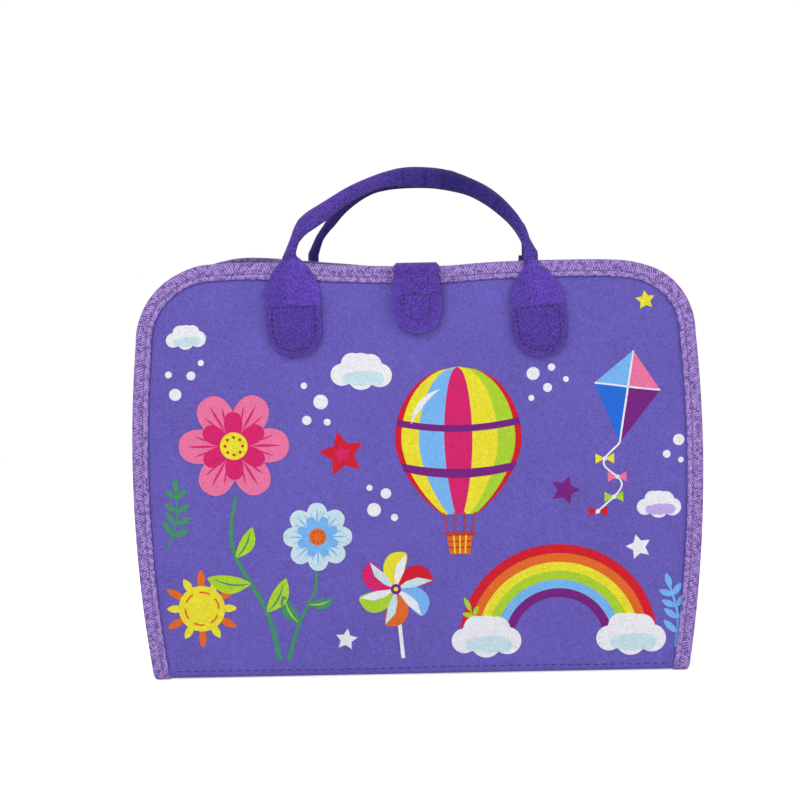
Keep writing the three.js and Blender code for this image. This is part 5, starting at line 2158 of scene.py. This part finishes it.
@dataclass
class Studio:
    """Floor, lamps, world and camera."""

    target: Spot = (-8.2, -15.0, 138.2)
    distance: float = 1300.0
    rise: float = math.radians(8.0)
    roll: float = math.radians(1.1)
    view_wide: float = 391.0
    sensor: float = 36.0

    def floor(self) -> None:
        """A wide pale floor, seen as near white, which keeps the object's shadow."""
        maker = Maker("floor_paper")
        grain = maker.noise(maker.place(), 40.0, 2.0)
        tone = maker.shade((235, 235, 238), 0.99 + grain * 0.02)
        maker.done(tone, Roughness=0.9, Specular_IOR_Level=0.1)
        seen = maker.out("LightPath", "Is Camera Ray") + maker.out("LightPath", "Is Glossy Ray")
        seen = (seen + maker.out("LightPath", "Is Transmission Ray")).apply("MINIMUM", 1.0)
        paper = maker.shader.outputs[0]
        glow = maker.node("Emission", None, {"Color": LIGHT, "Strength": 0.52})
        near = maker.node("AddShader", None, {0: paper, 1: glow.outputs[0]})
        white = maker.node("Emission", None, {"Color": LIGHT, "Strength": 1.0})
        length = maker.node("VectorMath", {"operation": "LENGTH"}, {0: maker.place()})
        far = Num(maker, length.outputs["Value"]).span(0.3, 0.75)
        both = maker.node("MixShader", None, {0: far, 1: near.outputs[0], 2: white.outputs[0]})
        choice = maker.node("MixShader", None, {0: seen, 1: paper, 2: both.outputs[0]})
        maker.feed(maker.tree.nodes["Material Output"].inputs["Surface"], choice.outputs[0])
        radii = np.array([300.0, 900.0, 2600.0, 8000.0])
        ring = rays(np.arange(96) * TURN / 96)
        flat = (radii[:, None, None] * ring).reshape(-1, 2)
        ids = np.arange(4 * 96).reshape(4, 96)
        after = np.roll(ids, -1, 1)
        quads = np.stack([ids[:-1], ids[1:], after[1:], after[:-1]], -1).reshape(-1, 4)
        points = np.column_stack([flat, np.full(len(flat), -0.02)])
        fresh("floor", (points, [quads, ids[:1]]), maker.material, even=False)

    def world(self) -> None:
        """A soft even sky that the camera sees as white."""
        world = bpy.data.worlds.new("studio")
        bpy.context.scene.world = world
        world.use_nodes = True
        world.node_tree.nodes.clear()
        sky = Nodes(world.node_tree)
        through = sky.out("LightPath", "Is Transmission Ray")
        seen = sky.out("LightPath", "Is Camera Ray").apply("MAXIMUM", through)
        lit, white = (sky.node("Background", None, {"Color": LIGHT, "Strength": strength})
                      for strength in (0.42, 1.0))
        mixed = sky.node("MixShader", None, {0: seen, 1: lit.outputs[0], 2: white.outputs[0]})
        sky.node("OutputWorld", None, {0: mixed.outputs[0]})

    def lamp(self, name: str, place: Spot, size: float, power: float) -> None:
        """One square area lamp that faces the object's middle.

        Args:
            name: the lamp's name.
            place: where it stands, in metres.
            size: its side, in metres.
            power: its power, in watts.
        """
        light = bpy.data.lights.new(name, "AREA")
        light.shape, light.size, light.energy = "SQUARE", size, power
        lamp = linked(name, light)
        lamp.location = place
        aim = Vector((0, 0, 0.12)) - Vector(place)
        lamp.rotation_euler = aim.to_track_quat("-Z", "Y").to_euler()

    def camera(self) -> None:
        """The photograph's view: a little above the object and turned a little about its axis."""
        target = Vector(self.target) * MM
        back = Vector((0, -math.cos(self.rise), math.sin(self.rise)))
        lens = bpy.data.cameras.new("photo_view")
        lens.sensor_width = self.sensor
        lens.lens = self.sensor * self.distance / self.view_wide
        camera = linked("photo_view", lens)
        aim = (-back).to_track_quat("-Z", "Y").to_matrix().to_4x4()
        place = Matrix.Translation(target + back * self.distance * MM)
        camera.matrix_world = place @ aim @ Matrix.Rotation(-self.roll, 4, "Z")
        bpy.context.scene.camera = camera

    def build(self) -> None:
        """Sets up the whole studio."""
        self.camera()
        self.floor()
        self.world()
        self.lamp("key_light", (-0.7, -1.5, 1.5), 1.3, 26.0)
        self.lamp("fill_light", (1.4, -1.1, 0.7), 1.4, 9.0)
        self.lamp("back_light", (0.3, 1.5, 1.4), 1.2, 12.0)
        bpy.context.scene.view_settings.view_transform = "Standard"


def main() -> None:
    """Builds the board piece by piece."""
    logging.basicConfig(level=logging.INFO, format="%(message)s")
    cover_felt = Felt("cover_felt", (106, 94, 187)).make()
    printed = Felt("printed_felt", (255, 255, 255), contrast=0.34, cloud=0.04, printed=True).make()
    # The handle felt takes painted light and shade from each piece's per-vertex attribute.
    handle_felt = Felt("handle_felt", (86, 60, 163), contrast=2.0, grain=0.62, napped=True).make()
    felts = {name: Felt(f"{name}_felt", colour, contrast).make() for name, colour, contrast in (
        ("page", (140, 196, 232), 0.5), ("pocket", (236, 140, 170), 0.4), ("dial", (244, 242, 236), 0.2),
        ("red", RED.value, 0.4), ("yellow", YELLOW.value, 0.4), ("green", GREEN.value, 0.4))}
    tape = Twill("tape_twill").make()
    back_tape = Twill("back_tape_twill", rim=9.2, rim_shade=0.46).make()
    tape_thread = Thread("tape_thread", (132, 106, 184)).make()
    felt_thread = Thread("felt_thread", (56, 44, 124)).make()
    handle_thread = Thread("handle_thread", (36, 24, 88)).make()
    page_thread = Thread("page_thread", (246, 246, 250)).make()
    webbing = Weave("webbing", (58, 96, 170), rib=2.1, weft=1.4).make()
    zip_cloth = Weave("zip_cloth", (214, 74, 92), rib=1.2, weft=0.8, depth=0.2).make()
    ink = Plastic("figures", (44, 46, 60)).make()
    plastic = Plastic("buckle_plastic", (40, 42, 48)).make()
    zip_plastic = Plastic("zip_plastic", (240, 196, 60)).make()
    metal = Metal("plated_metal", (190, 192, 198)).make()
    pile = Pile("hook_loop", (228, 226, 232)).make()

    Studio().build()
    front = Cover(FRONT, lifts=(
        (-140, -1.6), (-122, -0.7), (-113, -0.2), (-103, 0.7), (-86, 1.4), (-70, 1.1), (-50, 0.3),
        (-36, -0.6), (-13, -1.5), (11, -1.9), (20, -1.6), (30, -0.9), (41, -0.4), (62, 0), (90, -0.1),
        (104, -0.9), (112, -1.1), (124, -0.4), (140, 0)))
    back = Cover(BACK, lifts=(
        (-140, -4.5), (-121, -4.2), (-105, -2.6), (-97, -0.4), (-86, 1.6), (-72, 1.4), (-50, -0.7),
        (-36, -2.0), (-23, -3.4), (-13, -5.0), (11, -5.4), (30, -4.2), (62, -3.2), (90, -3.4),
        (112, -4.6), (140, -3.5)))
    for shape, body, binding in ((front, "front_cover", tape), (back, "back_cover", back_tape)):
        CoverCloth(shape, body, cover_felt, felts["page"], binding, felt_thread, tape_thread).build()
    # The lists after each strap's route are painted shade along it: the front strap is painted darker from
    # its middle to its right leg, and the whole back strap is painted darker.
    Handle(front, "front", 59.2, 37.7, -1.0, handle_felt, handle_thread, route=(
        (-1.0, -0.05, 7.4), (-0.993, 0.03, 5.3), (-0.966, 0.161, 4.6), (-0.947, 0.225, 5.2),
        (-0.925, 0.286, 6.2), (-0.899, 0.343, 7.2), (-0.868, 0.396, 8.2), (-0.797, 0.48, 8.7),
        (-0.722, 0.556, 8.4), (-0.611, 0.675, 7.5), (-0.5, 0.789, 7.0), (-0.381, 0.884, 6.7),
        (-0.256, 0.954, 7.0), (-0.171, 0.984, 7.7), (-0.084, 1.0, 9.0), (0.004, 1.0, 9.9),
        (0.136, 0.99, 10.0), (0.266, 0.962, 10.0), (0.351, 0.93, 9.6), (0.475, 0.856, 8.4),
        (0.592, 0.759, 8.1), (0.7, 0.636, 7.6), (0.793, 0.489, 6.7), (0.848, 0.381, 6.0),
        (0.892, 0.265, 5.2), (0.928, 0.139, 4.6), (0.957, 0.02, 5.4), (0.97, -0.05, 7.0),
    ), naps=((-60, 0.1), (-48, -0.2), (-31, 0), (-21, 0.1), (-11, 0.35), (-1, 0.6), (10, 0.75), (20, 1.0),
             (29, 0.95), (38, 0.7), (46, 0.75), (52, 0.4), (58, 0))).build()
    Handle(back, "back", 53.0, 36.0, -2.0, handle_felt, handle_thread, route=(
        (-1.02, -0.04, 4.8), (-1.005, 0.1, 4.4), (-0.965, 0.25, 4.8), (-0.915, 0.34, 5.2),
        (-0.812, 0.515, 6.0), (-0.698, 0.669, 6.5), (-0.57, 0.792, 6.7), (-0.434, 0.885, 7.0),
        (-0.292, 0.945, 7.2), (-0.146, 0.975, 7.4), (0.002, 0.985, 7.4), (0.15, 0.975, 7.0),
        (0.296, 0.94, 6.4), (0.438, 0.88, 6.2), (0.583, 0.76, 6.6), (0.713, 0.586, 6.4),
        (0.798, 0.4, 4.9), (0.857, 0.28, 4.0), (0.913, 0.15, 3.9), (0.958, -0.017, 4.6),
        (0.98, -0.1, 5.2),
    ), naps=((-60, 0.8), (60, 0.8)), pad_drop=5.0, necks_low=(4.5, 4.5)).build()
    Tab(handle_felt, handle_thread).build()
    Print(front, "front_cover", printed).build("front_print")
    for node in ("tab_hook_patch", "tab_loop_patch"):
        replica(node, pile, "hook_loop", 0.2, 2)
    Pages(zip_cloth, zip_plastic, metal, webbing, plastic, ink, pile, page_thread, felts).build()


if __name__ == "__main__":
    main()
